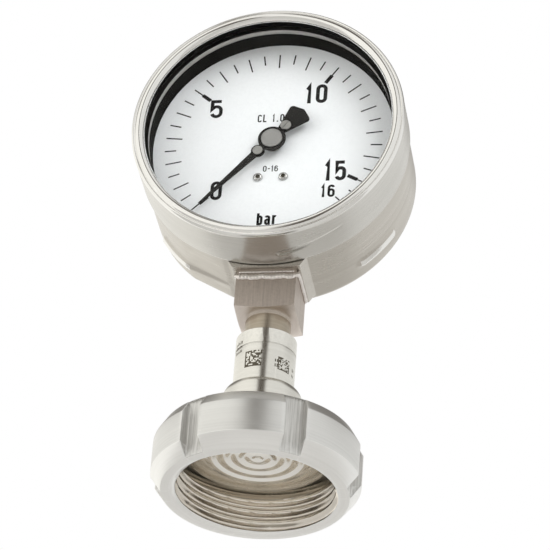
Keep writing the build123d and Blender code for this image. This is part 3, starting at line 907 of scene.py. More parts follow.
class SubAssembly:
    """A group of pieces that belong together on the gauge."""

    body: str = "gauge"

    def dress(self, finish: Finish, *nodes: str) -> None:
        """Gives carried-over nodes their finish.

        Args:
            finish: the finish for every slot.
            nodes: names of the nodes.
        """
        material = finish.build()
        for node in nodes:
            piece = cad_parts[node]
            if not piece.material_slots:
                piece.data.materials.append(material)
            for slot in piece.material_slots:
                slot.material = material
            LOG.info("dressed %s in %s", node, material.name)

    def stand_in(
        self, piece: Object, finish: Finish, slot: str | None, body: str, *nodes: str,
        more: Sequence[Finish] = (),
    ) -> None:
        """Finishes a new piece and puts it on its body.

        Args:
            piece: the new piece.
            finish: its finish.
            slot: the record's material slot, or None for ink and burnt marks; not used.
            body: body that it moves with.
            nodes: nodes that it stands for.
            more: finishes of the faces with a higher material number.
        """
        for layer in (finish, *more):
            piece.data.materials.append(layer.build())
        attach(piece, body)
        if nodes:
            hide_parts(*nodes)
        LOG.info("made %s on %s", piece.name, body)


@dataclass
class UnionNut(SubAssembly):
    """Slotted nut with a helical round thread, free to spin on the seal."""

    body: str = "union_nut"
    radius: float = 37.2
    height: float = 22.0
    lower_chamfer: Point2 = (3.9, 5.2)
    upper_chamfer: Point2 = (2.8, 4.8)
    slots: int = 6
    slot_width: float = 7.8
    slot_floor: float = 33.2
    hole_radius: float = 24.0
    shoulder: float = 18.5
    bore_radius: float = 30.5
    crest_radius: float = 28.1
    thread_depth: float = 1.9
    pitch: float = 25.4 / 6
    crest_land: float = 0.9
    first_crest: float = 4.2
    mouth_chamfer: float = 1.1
    painted_light_depth: float = 0.9
    relief_start: float = 13.2
    relief: float = 0.8
    edge: float = 0.3
    slot_fillet: float = 0.6
    mouth_slope: float = 1.2
    relief_slope: float = 1.5
    arc_points: int = 22
    lining_steps: int = 100

    def build(self) -> None:
        """Makes the slotted shell and the threaded lining."""
        self.stand_in(self._shell(), Finishes.NUT, "nut", self.body, "union_nut",
                      more=(Finishes.SLOT, Finishes.MOUTH_PAINTED_LIGHT))
        lining = Shaper.lathe(
            "union_nut_thread", self._lining_outline(), STEM, 288, self._thread_radius, 50.0
        )
        # Painted light: the lowest band of the thread gets the lighter mouth steel.
        Shaper.paint(lining, lambda centre: centre.z < self.painted_light_depth * MM)
        self.stand_in(lining, Finishes.THREAD, "nut", self.body, more=(Finishes.MOUTH_PAINTED_LIGHT,))

    def _slot_points(self, radius: float) -> list[Point2]:
        """Outline of one slot, as (across, outward) points from left to right.

        Args:
            radius: radius of the nut at this height.

        Returns:
            The points of both walls and the floor.
        """
        half, edge, fillet = self.slot_width / 2, self.edge, self.slot_fillet
        left = [
            (-half - edge, math.sqrt(radius**2 - (half + edge) ** 2)),
            (-half - edge * 0.3, math.sqrt(radius**2 - half**2) - edge * 0.3),
            (-half, math.sqrt(radius**2 - half**2) - edge),
            (-half, self.slot_floor + fillet),
            (-half + fillet * 0.3, self.slot_floor + fillet * 0.3),
            (-half + fillet, self.slot_floor),
            (-half * 0.4, self.slot_floor),
        ]
        return left + [(-across, outward) for across, outward in reversed(left)]

    def _ring(self, radius: float) -> list[Point2]:
        """Outline of the nut at one radius, with its slots where it reaches them.

        Args:
            radius: radius of the ring.

        Returns:
            The same number of points for every radius.
        """
        slotted = radius > self.slot_floor + 1.0
        slot = self._slot_points(radius if slotted else self.radius)
        points: list[Point2] = []
        for index in range(self.slots):
            middle = index * FULL_TURN / self.slots
            for across, outward in slot:
                if slotted:
                    angle = middle + math.atan2(across, outward)
                    reach = math.hypot(across, outward)
                else:
                    angle = middle + math.asin(across / radius)
                    reach = radius
                points.append((reach * math.cos(angle), reach * math.sin(angle)))
            start = math.asin((self.slot_width / 2 + self.edge) / radius)
            sweep = FULL_TURN / self.slots - 2 * start
            for step in range(1, self.arc_points):
                angle = middle + start + sweep * step / self.arc_points
                points.append((radius * math.cos(angle), radius * math.sin(angle)))
        return points

    def _shell(self) -> Object:
        """Outside of the nut with its six slots, down to the bore."""
        low, high = self.lower_chamfer, self.upper_chamfer
        outline = Shaper.soften([
            (self.bore_radius, 0.0),
            (self.radius - low[0], 0.0),
            (self.radius, low[1]),
            (self.radius, self.height - high[1]),
            (self.radius - high[0], self.height),
            (self.hole_radius, self.height),
            (self.hole_radius, self.shoulder),
            (self.bore_radius, self.shoulder),
        ], self.edge, 2)
        outline = [
            (radius, 0.0 if radius < self.bore_radius + 1 and height < 1 else height)
            for radius, height in outline
        ]
        grid = bmesh.new()
        rings = [
            [grid.verts.new(STEM.at(x, y, height)) for x, y in self._ring(radius)] for radius,
            height in outline
        ]
        Shaper.skin(grid, rings)
        lane = len(rings[0]) // self.slots
        slot_points = len(self._slot_points(self.radius))
        grid.faces.ensure_lookup_table()
        for number, face in enumerate(grid.faces):
            column = number % len(rings[0]) % lane
            centre = face.calc_center_median()
            if 1 < column < slot_points - 3 and math.hypot(
                centre.x, centre.y
            ) > self.slot_floor * MM:
                face.material_index = 1
            # Painted light: faces below the top of the lower chamfer get the lighter mouth steel.
            elif centre.z < self.lower_chamfer[1] * MM:
                face.material_index = 2
        return Shaper.object_from("union_nut_shell", grid, 24.0)

    def _lining_outline(self) -> list[Point2]:
        """Closed outline of the threaded lining before the thread is cut."""
        steps = self.lining_steps
        inner = [(self.crest_radius, self.shoulder * step / steps) for step in range(steps + 1)]
        return inner + [(self.bore_radius, self.shoulder), (self.bore_radius, 0.0)]

    def _thread_radius(self, angle: float, radius: float, height: float) -> float:
        """Radius of the round thread's wall.

        Args:
            angle: angle about the stem in radians.
            radius: radius before the thread is cut.
            height: height above the nut's lower face.

        Returns:
            The true radius.
        """
        if radius > self.crest_radius + 0.01:
            return radius
        turns = (height - self.first_crest) / self.pitch - (angle - math.pi / 2) / (FULL_TURN)
        from_edge = (turns - math.floor(turns)) * self.pitch - self.crest_land / 2
        groove = self.pitch - self.crest_land
        cut = math.sin(math.pi * from_edge / groove) if 0 < from_edge < groove else 0.0
        wall = self.crest_radius + self.thread_depth * cut
        mouth = self.crest_radius + max(0.0, self.mouth_chamfer - height * self.mouth_slope)
        if height > self.relief_start:
            return self.crest_radius + min(
                self.relief, (height - self.relief_start) * self.relief_slope
            )
        return max(wall, mouth)


@dataclass
class DiaphragmSeal(SubAssembly):
    """Turned seal body with its flange, collar and corrugated foil."""

    flange_radius: float = 27.0
    flange_face: float = 15.0
    flange_top: float = 18.4
    flange_chamfer: float = 1.6
    boss_radius: float = 23.7
    boss_top: float = 25.0
    collar_radius: float = 14.2
    collar_top: float = 41.4
    shoulder: float = 3.6
    channel_radius: float = 1.6
    chamber_radius: float = 17.5
    foil_radius: float = 19.0
    foil_thickness: float = 0.15
    wave_pitch: float = 4.8
    wave_height: float = 0.55
    recess: float = 1.0
    boss_edge: float = 1.0
    foil_rim: float = 1.5
    foil_steps: int = 96

    def build(self) -> None:
        """Makes the seal body and the foil, and dresses the filling plug."""
        body = Shaper.lathe("seal_body_turned", self._body_outline(), STEM, 192)
        Shaper.paint(body, lambda centre: centre.z > self.flange_top * MM)
        self.stand_in(
            body, Finishes.SEAL, "seal_steel", self.body, "seal_body", more=(Finishes.SLEEVE,)
        )
        foil = Shaper.lathe("diaphragm_foil", self._foil_outline(), STEM, 192, sharp=60.0)
        self.stand_in(foil, Finishes.FOIL, "diaphragm", self.body, "diaphragm")
        self.dress(Finishes.SCREW, "fill_port_plug")

    def _body_outline(self) -> list[Point2]:
        """Closed outline of the seal body, channel included."""
        shoulder = [
            (self.collar_radius - self.shoulder * (1 - math.cos(angle)),
             self.collar_top - self.shoulder * (1 - math.sin(angle)))
            for angle in [math.pi / 2 * step / 12 for step in range(13)]
        ]
        outline = Shaper.soften([
            (self.channel_radius, self.flange_face + self.recess),
            (self.chamber_radius, self.flange_face + self.recess),
            (self.chamber_radius, self.flange_face),
            (self.flange_radius - self.flange_chamfer, self.flange_face),
            (self.flange_radius, self.flange_face + self.flange_chamfer),
            (self.flange_radius, self.flange_top),
            (self.boss_radius, self.flange_top),
            (self.boss_radius, self.boss_top - self.boss_edge),
            (self.boss_radius - self.boss_edge, self.boss_top),
            (self.collar_radius + 0.1, self.boss_top),
        ], 0.2, 2)
        return outline + shoulder + [(self.channel_radius, self.collar_top)]

    def _foil_outline(self) -> list[Point2]:
        """Closed outline of the waved foil."""
        steps = self.foil_steps
        reach = self.foil_radius - self.foil_rim
        lower = []
        for step in range(steps + 1):
            radius = reach * step / steps
            wave = (1 - math.cos(FULL_TURN * radius / self.wave_pitch)) / 2
            lower.append((radius, self.flange_face - self.foil_thickness - self.wave_height * wave))
        lower.append((self.foil_radius, self.flange_face - self.foil_thickness))
        return lower + [
            (radius, height + self.foil_thickness) for radius, height in reversed(lower)
        ]


@dataclass
class Stem(SubAssembly):
    """Sleeve, neck and spanner block, with the weld that joins the block to the case."""

    sleeve_radius: float = 11.0
    sleeve_bottom: float = 41.4
    sleeve_top: float = 56.4
    stub_top: float = 62.6
    block_bottom: float = 70.8
    block_half: float = 11.0
    channel_radius: float = 1.6
    weld_gap: float = 0.5
    weld_gap_depth: float = 0.07
    bead_front: float = 83.4
    bead_side: float = 86.3
    bead_radius: float = 1.15
    lip_front: float = 85.7
    lip_radius: float = 0.4
    lip_ripple: float = 0.02
    ripple: float = 0.16
    ripple_length: float = 1.25
    mark_cell: float = 0.55
    mark_seed: int = 11
    mark_cells: int = 12
    bar_width: float = 0.4
    bar_pitch: float = 0.75
    corner: float = 1.2
    highlight_rim: float = 0.9
    stub_cut: float = 0.05
    cone_tilt: float = -0.15
    bead_climb: float = 5.0
    bead_steps: int = 90
    bead_sides: int = 14

    def build(self) -> None:
        """Makes the sleeve, the block with its turned neck, the weld bead and the marks."""
        outline = Shaper.soften([
            (self.channel_radius, self.sleeve_bottom),
            (self.sleeve_radius, self.sleeve_bottom),
            (self.sleeve_radius, self.sleeve_top - self.weld_gap),
            (self.sleeve_radius - self.weld_gap_depth, self.sleeve_top - self.weld_gap),
            (self.sleeve_radius - self.weld_gap_depth, self.sleeve_top),
            (self.channel_radius, self.sleeve_top),
        ], 0.12, 2)
        sleeve = Shaper.lathe("adapter_sleeve_turned", outline, STEM, 160)
        self.stand_in(sleeve, Finishes.SLEEVE, "sleeve", self.body, "adapter_sleeve")
        self._block()
        for name, front, radius, ripple in (
            ("case_weld_bead", self.bead_front, self.bead_radius, self.ripple),
            ("case_collar_lip", self.lip_front, self.lip_radius, self.lip_ripple),
        ):
            self.stand_in(
                self._bead(name, front, radius, ripple), Finishes.WELD, "block", self.body
            )
        self._marks()

    def _block(self) -> None:
        """Carries the socket block over, with a turned finish below the square part, a painted
        reflection on the neck and a painted highlight rim at its top.
        """
        grid = bmesh.new()
        grid.from_mesh(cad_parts["socket_block"].data)
        bmesh.ops.remove_doubles(grid, verts=grid.verts, dist=1e-6)
        cuts = [(self.block_bottom - self.highlight_rim) * MM, (self.stub_top + self.stub_cut) * MM]
        for height in cuts:
            bmesh.ops.bisect_plane(grid, geom=grid.verts[:] + grid.edges[:] + grid.faces[:],
                                   plane_co=(0.0, 0.0, height), plane_no=(0.0, 0.0, 1.0))
        for face in grid.faces:
            centre = face.calc_center_median()
            low = centre.z < self.block_bottom * MM - 1e-5
            face.material_index = 1 if low else 2 if face.normal.z < self.cone_tilt else 0
            # Painted reflection: the neck band between the cuts gets the dark brown neck steel; the
            # band above it keeps the sleeve steel as a painted highlight rim.
            if cuts[1] < centre.z < cuts[0]:
                face.material_index = 3
        block = Shaper.object_from("socket_block_dressed", grid, 14.0)
        self.stand_in(block, Finishes.BLOCK, "block", self.body, "socket_block",
                      more=(Finishes.SLEEVE, Finishes.CONE, Finishes.NECK_PAINTED_REFLECTION))

    def _bead(self, name: str, front: float, radius: float, ripple: float) -> Object:
        """Rippled bead round the block, low at the front and high at the sides.

        Args:
            name: plain name of the piece.
            front: height of the bead on the front of the block.
            radius: half the width of the bead.
            ripple: how far its waves stand out.

        Returns:
            The new object.
        """
        half = self.block_half + radius * 0.25
        path: list[tuple[float, float, float, Point2]] = []
        sides = (((-1, -1), (1, -1), (0, -1)), ((1, -1), (1, 1), (1, 0)), ((1, 1), (-1, 1), (0, 1)),
                 ((-1, 1), (-1, -1), (-1, 0)))
        steps = self.bead_steps
        for start, finish, outward in sides:
            for step in range(steps):
                share = (step + 0.5) / steps
                reach = half - self.corner
                x = (
                    start[0] + (finish[0] - start[0]) * share
                ) * (reach if outward[0] == 0 else half)
                y = (
                    start[1] + (finish[1] - start[1]) * share
                ) * (reach if outward[1] == 0 else half)
                away = Vector(outward)
                side = max(self.bead_side, front)
                rise = front if outward[1] == -1 else side
                if outward[0] != 0:
                    rise = front + (side - front) * min(
                        1.0, max(0.0, (y + half) / self.bead_climb)
                    ) ** 0.5
                path.append((x, y, rise, (away.x, away.y)))
        grid = bmesh.new()
        rings = []
        length = 0.0
        for index, (x, y, z, away) in enumerate(path):
            length += math.dist((x, y, z), path[index - 1][:3]) if index else 0.0
            wave = ripple * math.sin(FULL_TURN * length / self.ripple_length)
            wander = ripple * (1.1 * math.sin(length * 0.9) + 0.6 * math.sin(length * 2.3 + 1.0))
            ring = []
            for step in range(self.bead_sides):
                angle = FULL_TURN * step / self.bead_sides
                out = (radius * 0.7 + wave) * math.cos(angle)
                up = (radius * 1.1 + wave * 0.6) * math.sin(angle) + wander
                ring.append(grid.verts.new(STEM.at(x + away[0] * out, y + away[1] * out, z + up)))
            rings.append(ring)
        Shaper.skin(grid, rings)
        return Shaper.object_from(name, grid, 80.0)

    def _marks(self) -> None:
        """Burns two patches of plain squares and a few short bars into the sleeve."""
        grid = bmesh.new()
        chance = random.Random(self.mark_seed)
        count = self.mark_cells
        for middle, bottom, size in (
            (-103.0, 46.2, self.mark_cell), (-41.0, 45.8, self.mark_cell * 0.8)
        ):
            for column in range(count):
                for row in range(count):
                    border = column == 0 or row == 0
                    if border or chance.random() < 0.5:
                        angle = math.radians(middle) + (
                            column - count / 2
                        ) * size / self.sleeve_radius
                        self._cell(
                            grid, angle, bottom + row * size, size / self.sleeve_radius, size
                        )
        for middle, bottom, count in (
            (-152.0, 57.2, 6), (-152.0, 55.4, 6), (-152.0, 53.6, 6), (-61.0, 48.6, 2),
            (-61.0, 46.6, 2), (-17.0, 48.0, 2), (-17.0, 45.8, 2),
        ):
            for step in range(count):
                angle = math.radians(middle) + step * self.bar_pitch / self.sleeve_radius
                tall = 0.8 + 0.6 * chance.random()
                self._cell(grid, angle, bottom, self.bar_width / self.sleeve_radius, tall)
        marks = Shaper.object_from("sleeve_laser_marks", grid)
        self.stand_in(marks, Finishes.BURNT_AND_SHADE, None, self.body)

    def _cell(self, grid: BMesh, angle: float, bottom: float, sweep: float, height: float) -> None:
        """Adds one thin curved tile on the sleeve.

        Args:
            grid: mesh that gets the tile.
            angle: start angle about the stem in radians.
            bottom: height of the tile's lower edge.
            sweep: angle that the tile covers.
            height: height of the tile.
        """
        corners = []
        for reach in (self.sleeve_radius - 0.02, self.sleeve_radius + 0.012):
            for turn, level in ((0, 0), (1, 0), (1, 1), (0, 1)):
                at = angle + turn * sweep
                place = STEM.at(reach * math.cos(at), reach * math.sin(at), bottom + level * height)
                corners.append(grid.verts.new(place))
        for face in ((4, 5, 6, 7), (0, 1, 5, 4), (1, 2, 6, 5), (2, 3, 7, 6), (3, 0, 4, 7)):
            grid.faces.new([corners[index] for index in face])


@dataclass
class Case(SubAssembly):
    """Drawn case with its flattened seat for the stem and two pressed ribs."""

    radius: float = 49.5
    wall: float = 1.2
    back: float = -33.0
    back_radius: float = 2.0
    step: float = -4.4
    mouth_radius: float = 48.2
    mouth_front: float = 7.3
    rim_radius: float = 49.2
    rim_back: float = 5.8
    notch_angles: tuple[float, ...] = (-40.0, 80.0, 200.0)
    notch_half: float = 16.0
    seat_drop: float = 51.1
    seat_half: float = 12.3
    crease_half: float = 14.7
    seat_back: float = -30.5
    seat_reach: float = 22.0
    seat_blend: float = 0.12
    seat_fade: float = 0.9
    longest_side: float = 0.7
    highlight_share: float = 0.3
    rib_place: float = -24.0
    rib_ends: Point2 = (-49.0, -31.0)
    rib_rise: float = 1.2
    rib_half: float = 2.4
    hole_radius: float = 10.0
    hole_height: float = 24.0

    def build(self) -> None:
        """Makes the case with the relief hole in its back, and dresses the plug."""
        case = Shaper.lathe(
            "case_shell", self._outline(), DIAL, self._angles(), self._wall_radius, 30.0
        )
        self._drill(case)
        # Painted highlight: the upper faces of the ribs get the lighter lip steel.
        Shaper.paint(case, self._on_rib_highlight)
        self.stand_in(case, Finishes.CASE, "case", self.body, "case", more=(Finishes.LIP_HIGHLIGHT,))
        self.dress(Finishes.PLUG, "blowout_plug")

    def _on_rib_highlight(self, centre: Vector) -> bool:
        """Whether a face stands high on a rib, by its centre; these faces get the painted
        highlight.
        """
        angle = math.atan2(centre.z - DIAL.origin.z, centre.x - DIAL.origin.x)
        height = (DIAL.origin.y - centre.y) / MM
        return self._rib(angle, height) > self.rib_rise * self.highlight_share

    def _outline(self) -> list[Point2]:
        """Closed outline of the case before it is flattened for the stem."""
        inside = self.radius - self.wall
        outside = Shaper.soften([
            (0.0, self.back),
            (self.radius, self.back),
            (self.radius, self.step),
            (self.mouth_radius, self.step),
            (self.mouth_radius, self.rim_back),
            (self.rim_radius, self.rim_back),
            (self.rim_radius, self.mouth_front),
            (self.mouth_radius - self.wall, self.mouth_front),
            (self.mouth_radius - self.wall, self.step - self.wall),
            (inside, self.step - self.wall),
            (inside, self.back + self.wall),
            (0.0, self.back + self.wall),
        ], 0.25, 2)
        rounded = []
        for radius, height in Shaper.divide(outside, self.longest_side):
            drop = self.back + self.back_radius - height
            limit = self.radius - self.back_radius
            if drop > 0 and radius > limit - self.wall:
                share = min(1.0, drop / self.back_radius)
                edge = limit + self.back_radius * math.sqrt(max(0.0, 1 - share**2))
                radius = min(radius, edge)
            rounded.append((radius, height))
        return rounded

    def _angles(self) -> list[float]:
        """Angles of the mesh's columns, closer together round the stem's seat."""
        fine, coarse, reach = 0.4, 1.5, 20.0
        near = [-90.0 - reach + fine * step for step in range(int(2 * reach / fine))]
        far = [-90.0 + reach + coarse * step for step in range(int((360 - 2 * reach) / coarse) + 1)]
        return [math.radians(angle) for angle in near + far if angle < 250.0 - reach + 1e-6]

    def _seat(self, angle: float, inset: float) -> float:
        """Distance from the dial's axis to the flattened seat.

        Args:
            angle: angle about the dial in radians.
            inset: thickness taken off, for the inner side.

        Returns:
            The distance, or 0 away from the seat.
        """
        turn = abs(math.remainder(angle + math.pi / 2, FULL_TURN))
        if turn > math.radians(self.seat_reach):
            return 0.0
        crease_drop = math.sqrt(self.radius**2 - self.crease_half**2)
        slope = (self.seat_drop - crease_drop) / (self.crease_half - self.seat_half)
        flat = self.seat_drop / math.cos(turn)
        reach = self.seat_drop + slope * self.seat_half
        slant = reach / (math.cos(turn) + slope * math.sin(turn))
        return min(flat, slant) - inset

    def _wall_radius(self, angle: float, radius: float, height: float) -> float:
        """Radius of the wall with the seat, the ribs and the bayonet notches.

        Args:
            angle: angle about the dial in radians.
            radius: radius before shaping.
            height: place along the dial's axis.

        Returns:
            The true radius.
        """
        if height > self.rim_back - 0.1 and radius > self.mouth_radius + 0.1:
            off = min(abs(
                math.remainder(angle - math.radians(notch), FULL_TURN)
            ) for notch in self.notch_angles)
            return self.mouth_radius if off < math.radians(self.notch_half) else radius
        if radius < self.radius - self.wall - 0.01 or height > self.step + 0.01:
            return radius
        outer = radius > self.radius - self.wall / 2
        fade = min(1.0, max(0.0, (height - self.seat_back) / self.seat_fade))
        seat = self._seat(angle, 0.0 if outer else self.wall)
        gained = max(0.0, seat - radius)
        soft = gained**2 / (gained + self.seat_blend) if gained else 0.0
        rib = self._rib(angle, height) if outer else 0.0
        return radius + soft * fade * fade * (3 - 2 * fade) + rib

    def _rib(self, angle: float, height: float) -> float:
        """Rise of the two pressed ribs.

        Args:
            angle: angle about the dial in radians.
            height: place along the dial's axis.

        Returns:
            How far the wall stands out.
        """
        degrees = math.degrees(math.remainder(angle, FULL_TURN))
        mirrored = degrees if degrees > -90 else -180 - degrees
        low, high = self.rib_ends
        share = (mirrored - low) / (high - low)
        held = min(1.0, max(0.0, share))
        beyond = math.radians(abs(share - held) * (high - low)) * self.radius
        away = math.hypot(beyond, height - self.rib_place) / self.rib_half
        return self.rib_rise * math.cos(math.pi / 2 * away) ** 1.3 if away < 1 else 0.0

    def _drill(self, case: Object) -> None:
        """Cuts the relief hole through the back.

        Args:
            case: the case to cut.
        """
        below, above = self.back - 1, self.back + 3
        outline = [(0.0, below), (self.hole_radius, below), (self.hole_radius, above), (0.0, above)]
        place = Placement(DIAL.at(0.0, self.hole_height, 0.0), DIAL.turn)
        drill = Shaper.lathe("relief_drill", outline, place, 96)
        cut = case.modifiers.new("relief hole", "BOOLEAN")
        cut.operation, cut.object, cut.solver = "DIFFERENCE", drill, "EXACT"
        bpy.context.view_layer.update()
        shape = bpy.data.meshes.new_from_object(
            case.evaluated_get(bpy.context.evaluated_depsgraph_get())
        )
        case.modifiers.clear()
        case.data = shape
        bpy.data.objects.remove(drill)


@dataclass
class Bezel(SubAssembly):
    """Bayonet bezel with a rolled bead, a lip and three pressed ramps."""

    body: str = "bezel"
    radius: float = 50.5
    front: float = 16.0
    rear: float = -4.0
    sheet: float = 0.9
    opening: float = 45.7
    seat: float = 13.9
    highlight_depth: float = 2.4
    ramp_starts: tuple[float, ...] = (-83.0, 37.0, 157.0)
    ramp_sweep: float = 27.0
    ramp_low: float = 2.2
    ramp_high: float = 6.4
    ramp_depth: float = 0.55
    ramp_half: float = 1.6

    def build(self) -> None:
        """Turns the bezel and presses its ramps."""
        bezel = Shaper.lathe("bezel_shell", self._outline(), DIAL, 720, self._pressed, 30.0)
        # Painted highlight: the front of the bezel, bead and lip, gets the lighter lip steel.
        highlight_from = (self.front - self.highlight_depth) * MM
        Shaper.paint(bezel, lambda centre: DIAL.origin.y - centre.y > highlight_from)
        self.stand_in(bezel, Finishes.BEZEL, "bezel", self.body, "bezel_ring", more=(Finishes.LIP_HIGHLIGHT,))

    def _outline(self) -> list[Point2]:
        """Closed outline of the bezel: skirt, bead, groove and lip."""
        outer, opening, front = self.radius, self.opening, self.front
        skirt, inside = outer - 0.1, outer - 0.1 - self.sheet
        outline = Shaper.soften([
            (skirt, self.rear),
            (skirt, front - 2.9),
            (outer, front - 2.1),
            (outer - 0.2, front - 1.1),
            (outer - 0.75, front - 0.65),
            (outer - 1.25, front - 1.05),
            (outer - 1.75, front - 0.35),
            (outer - 2.7, front),
            (opening + 1.5, front - 0.1),
            (opening + 0.5, front - 0.8),
            (opening, front - 1.7),
            (opening, self.seat),
            (inside - 0.1, self.seat),
            (inside, self.seat - 0.7),
            (inside, self.rear),
        ], 0.4, 3)
        return Shaper.divide(outline, 0.5)

    def _pressed(self, angle: float, radius: float, height: float) -> float:
        """Radius of the skirt where a ramp is pressed into it.

        Args:
            angle: angle about the dial in radians.
            radius: radius before pressing.
            height: place along the dial's axis.

        Returns:
            The true radius.
        """
        if radius < self.radius - self.sheet - 0.2 or height > self.seat - 2:
            return radius
        for start in self.ramp_starts:
            share = math.degrees(
                math.remainder(angle - math.radians(start), FULL_TURN)
            ) / self.ramp_sweep
            held = min(1.0, max(0.0, share))
            beyond = math.radians(abs(share - held) * self.ramp_sweep) * self.radius
            place = self.ramp_low + (self.ramp_high - self.ramp_low) * held
            away = math.hypot(beyond, height - place) / (self.ramp_half * (1 - 0.5 * held))
            if away < 1:
                return radius - self.ramp_depth * (1 - 0.85 * held) * math.cos(math.pi / 2 * away)
        return radius


@dataclass
class Window(SubAssembly):
    """Window pane and the rings behind it."""

    radius: float = 47.0
    back: float = 9.6
    front: float = 13.2

    def build(self) -> None:
        """Makes the pane and dresses the gasket and the rings."""
        outline = Shaper.soften([
            (0.0, self.back), (self.radius, self.back), (
                self.radius, self.front
            ), (0.0, self.front),
        ], 0.3, 2)
        pane = Shaper.lathe("window_pane", outline, DIAL, 160)
        self.stand_in(pane, Finishes.GLASS, "glass", self.body, "window_glass")
        self.dress(Finishes.RUBBER, "window_gasket")
        self.dress(Finishes.INNER_RING, "support_ring")
        self.dress(Finishes.SURROUND, "dial_surround")


class Glyph:
    """Narrow bold figures and letters, drawn as strokes of one width in a box one unit high."""

    def __init__(self, stroke: float, slender: float) -> None:
        """Keeps the stroke's width and the glyph's width, as shares of the height."""
        self.low = stroke / 2
        self.high = 1 - stroke / 2
        self.left = stroke / 2
        self.right = slender - stroke / 2
        self.middle = slender / 2
        self.turn = (self.right - self.left) / 2

    def _arc(self, height: float, start: float, finish: float, steps: int = 10) -> list[Point2]:
        """Points of an arc as wide as the glyph.

        Args:
            height: height of the arc's centre.
            start: first angle in degrees.
            finish: last angle in degrees.
            steps: number of chords.

        Returns:
            The points in order.
        """
        angles = [
            math.radians(start + (finish - start) * step / steps) for step in range(steps + 1)
        ]
        return [(
            self.middle + self.turn * math.cos(a), height + self.turn * math.sin(a)
        ) for a in angles]

    def _loop(self, low: float, high: float) -> list[Point2]:
        """Closed narrow loop between two heights."""
        return self._arc(high - self.turn, 0, 180) + self._arc(low + self.turn, 180, 360)

    def strokes(self, letter: str) -> list[tuple[list[Point2], bool]]:
        """Strokes of one letter.

        Args:
            letter: the letter or figure.

        Returns:
            Each stroke's points and whether it is closed.
        """
        low, high, left, right = self.low, self.high, self.left, self.right
        middle, turn = self.middle, self.turn
        lowercase = 0.72
        shapes: dict[str, list[tuple[list[Point2], bool]]] = {
            "0": [(self._loop(low, high), True)],
            "1": [([(left, high - 0.17), (right - 0.06, high), (right - 0.06, 0.0)], False)],
            "5": [([(right, high), (left, high), (left, 0.5)] + self._arc(0.63 - turn, 150, 0)
                   + self._arc(low + turn, 0, -165), False)],
            "6": [(self._loop(low, 0.6), True),
                  ([(left, low + turn)] + self._arc(high - turn, 180, 15), False)],
            "b": [([(left, 1.0), (left, 0.0)], False), (self._loop(low, lowercase), True)],
            "a": [(self._loop(low, 0.45), True),
                  (self._arc(lowercase - turn, 165, 0) + [(right, 0.0)], False)],
            "r": [([(left, lowercase + low), (left, 0.0)], False),
                  (self._arc(lowercase - turn, 180, 60), False)],
            "C": [(self._arc(high - turn, 0, 180) + self._arc(low + turn, 180, 360), False)],
            "L": [([(left, 1.0), (left, low), (right, low)], False)],
            "-": [([(0.0, 0.5), (right + left, 0.5)], False)],
            ".": [([(middle, 0.0), (middle, low * 2)], False)],
        }
        return shapes.get(letter, [])


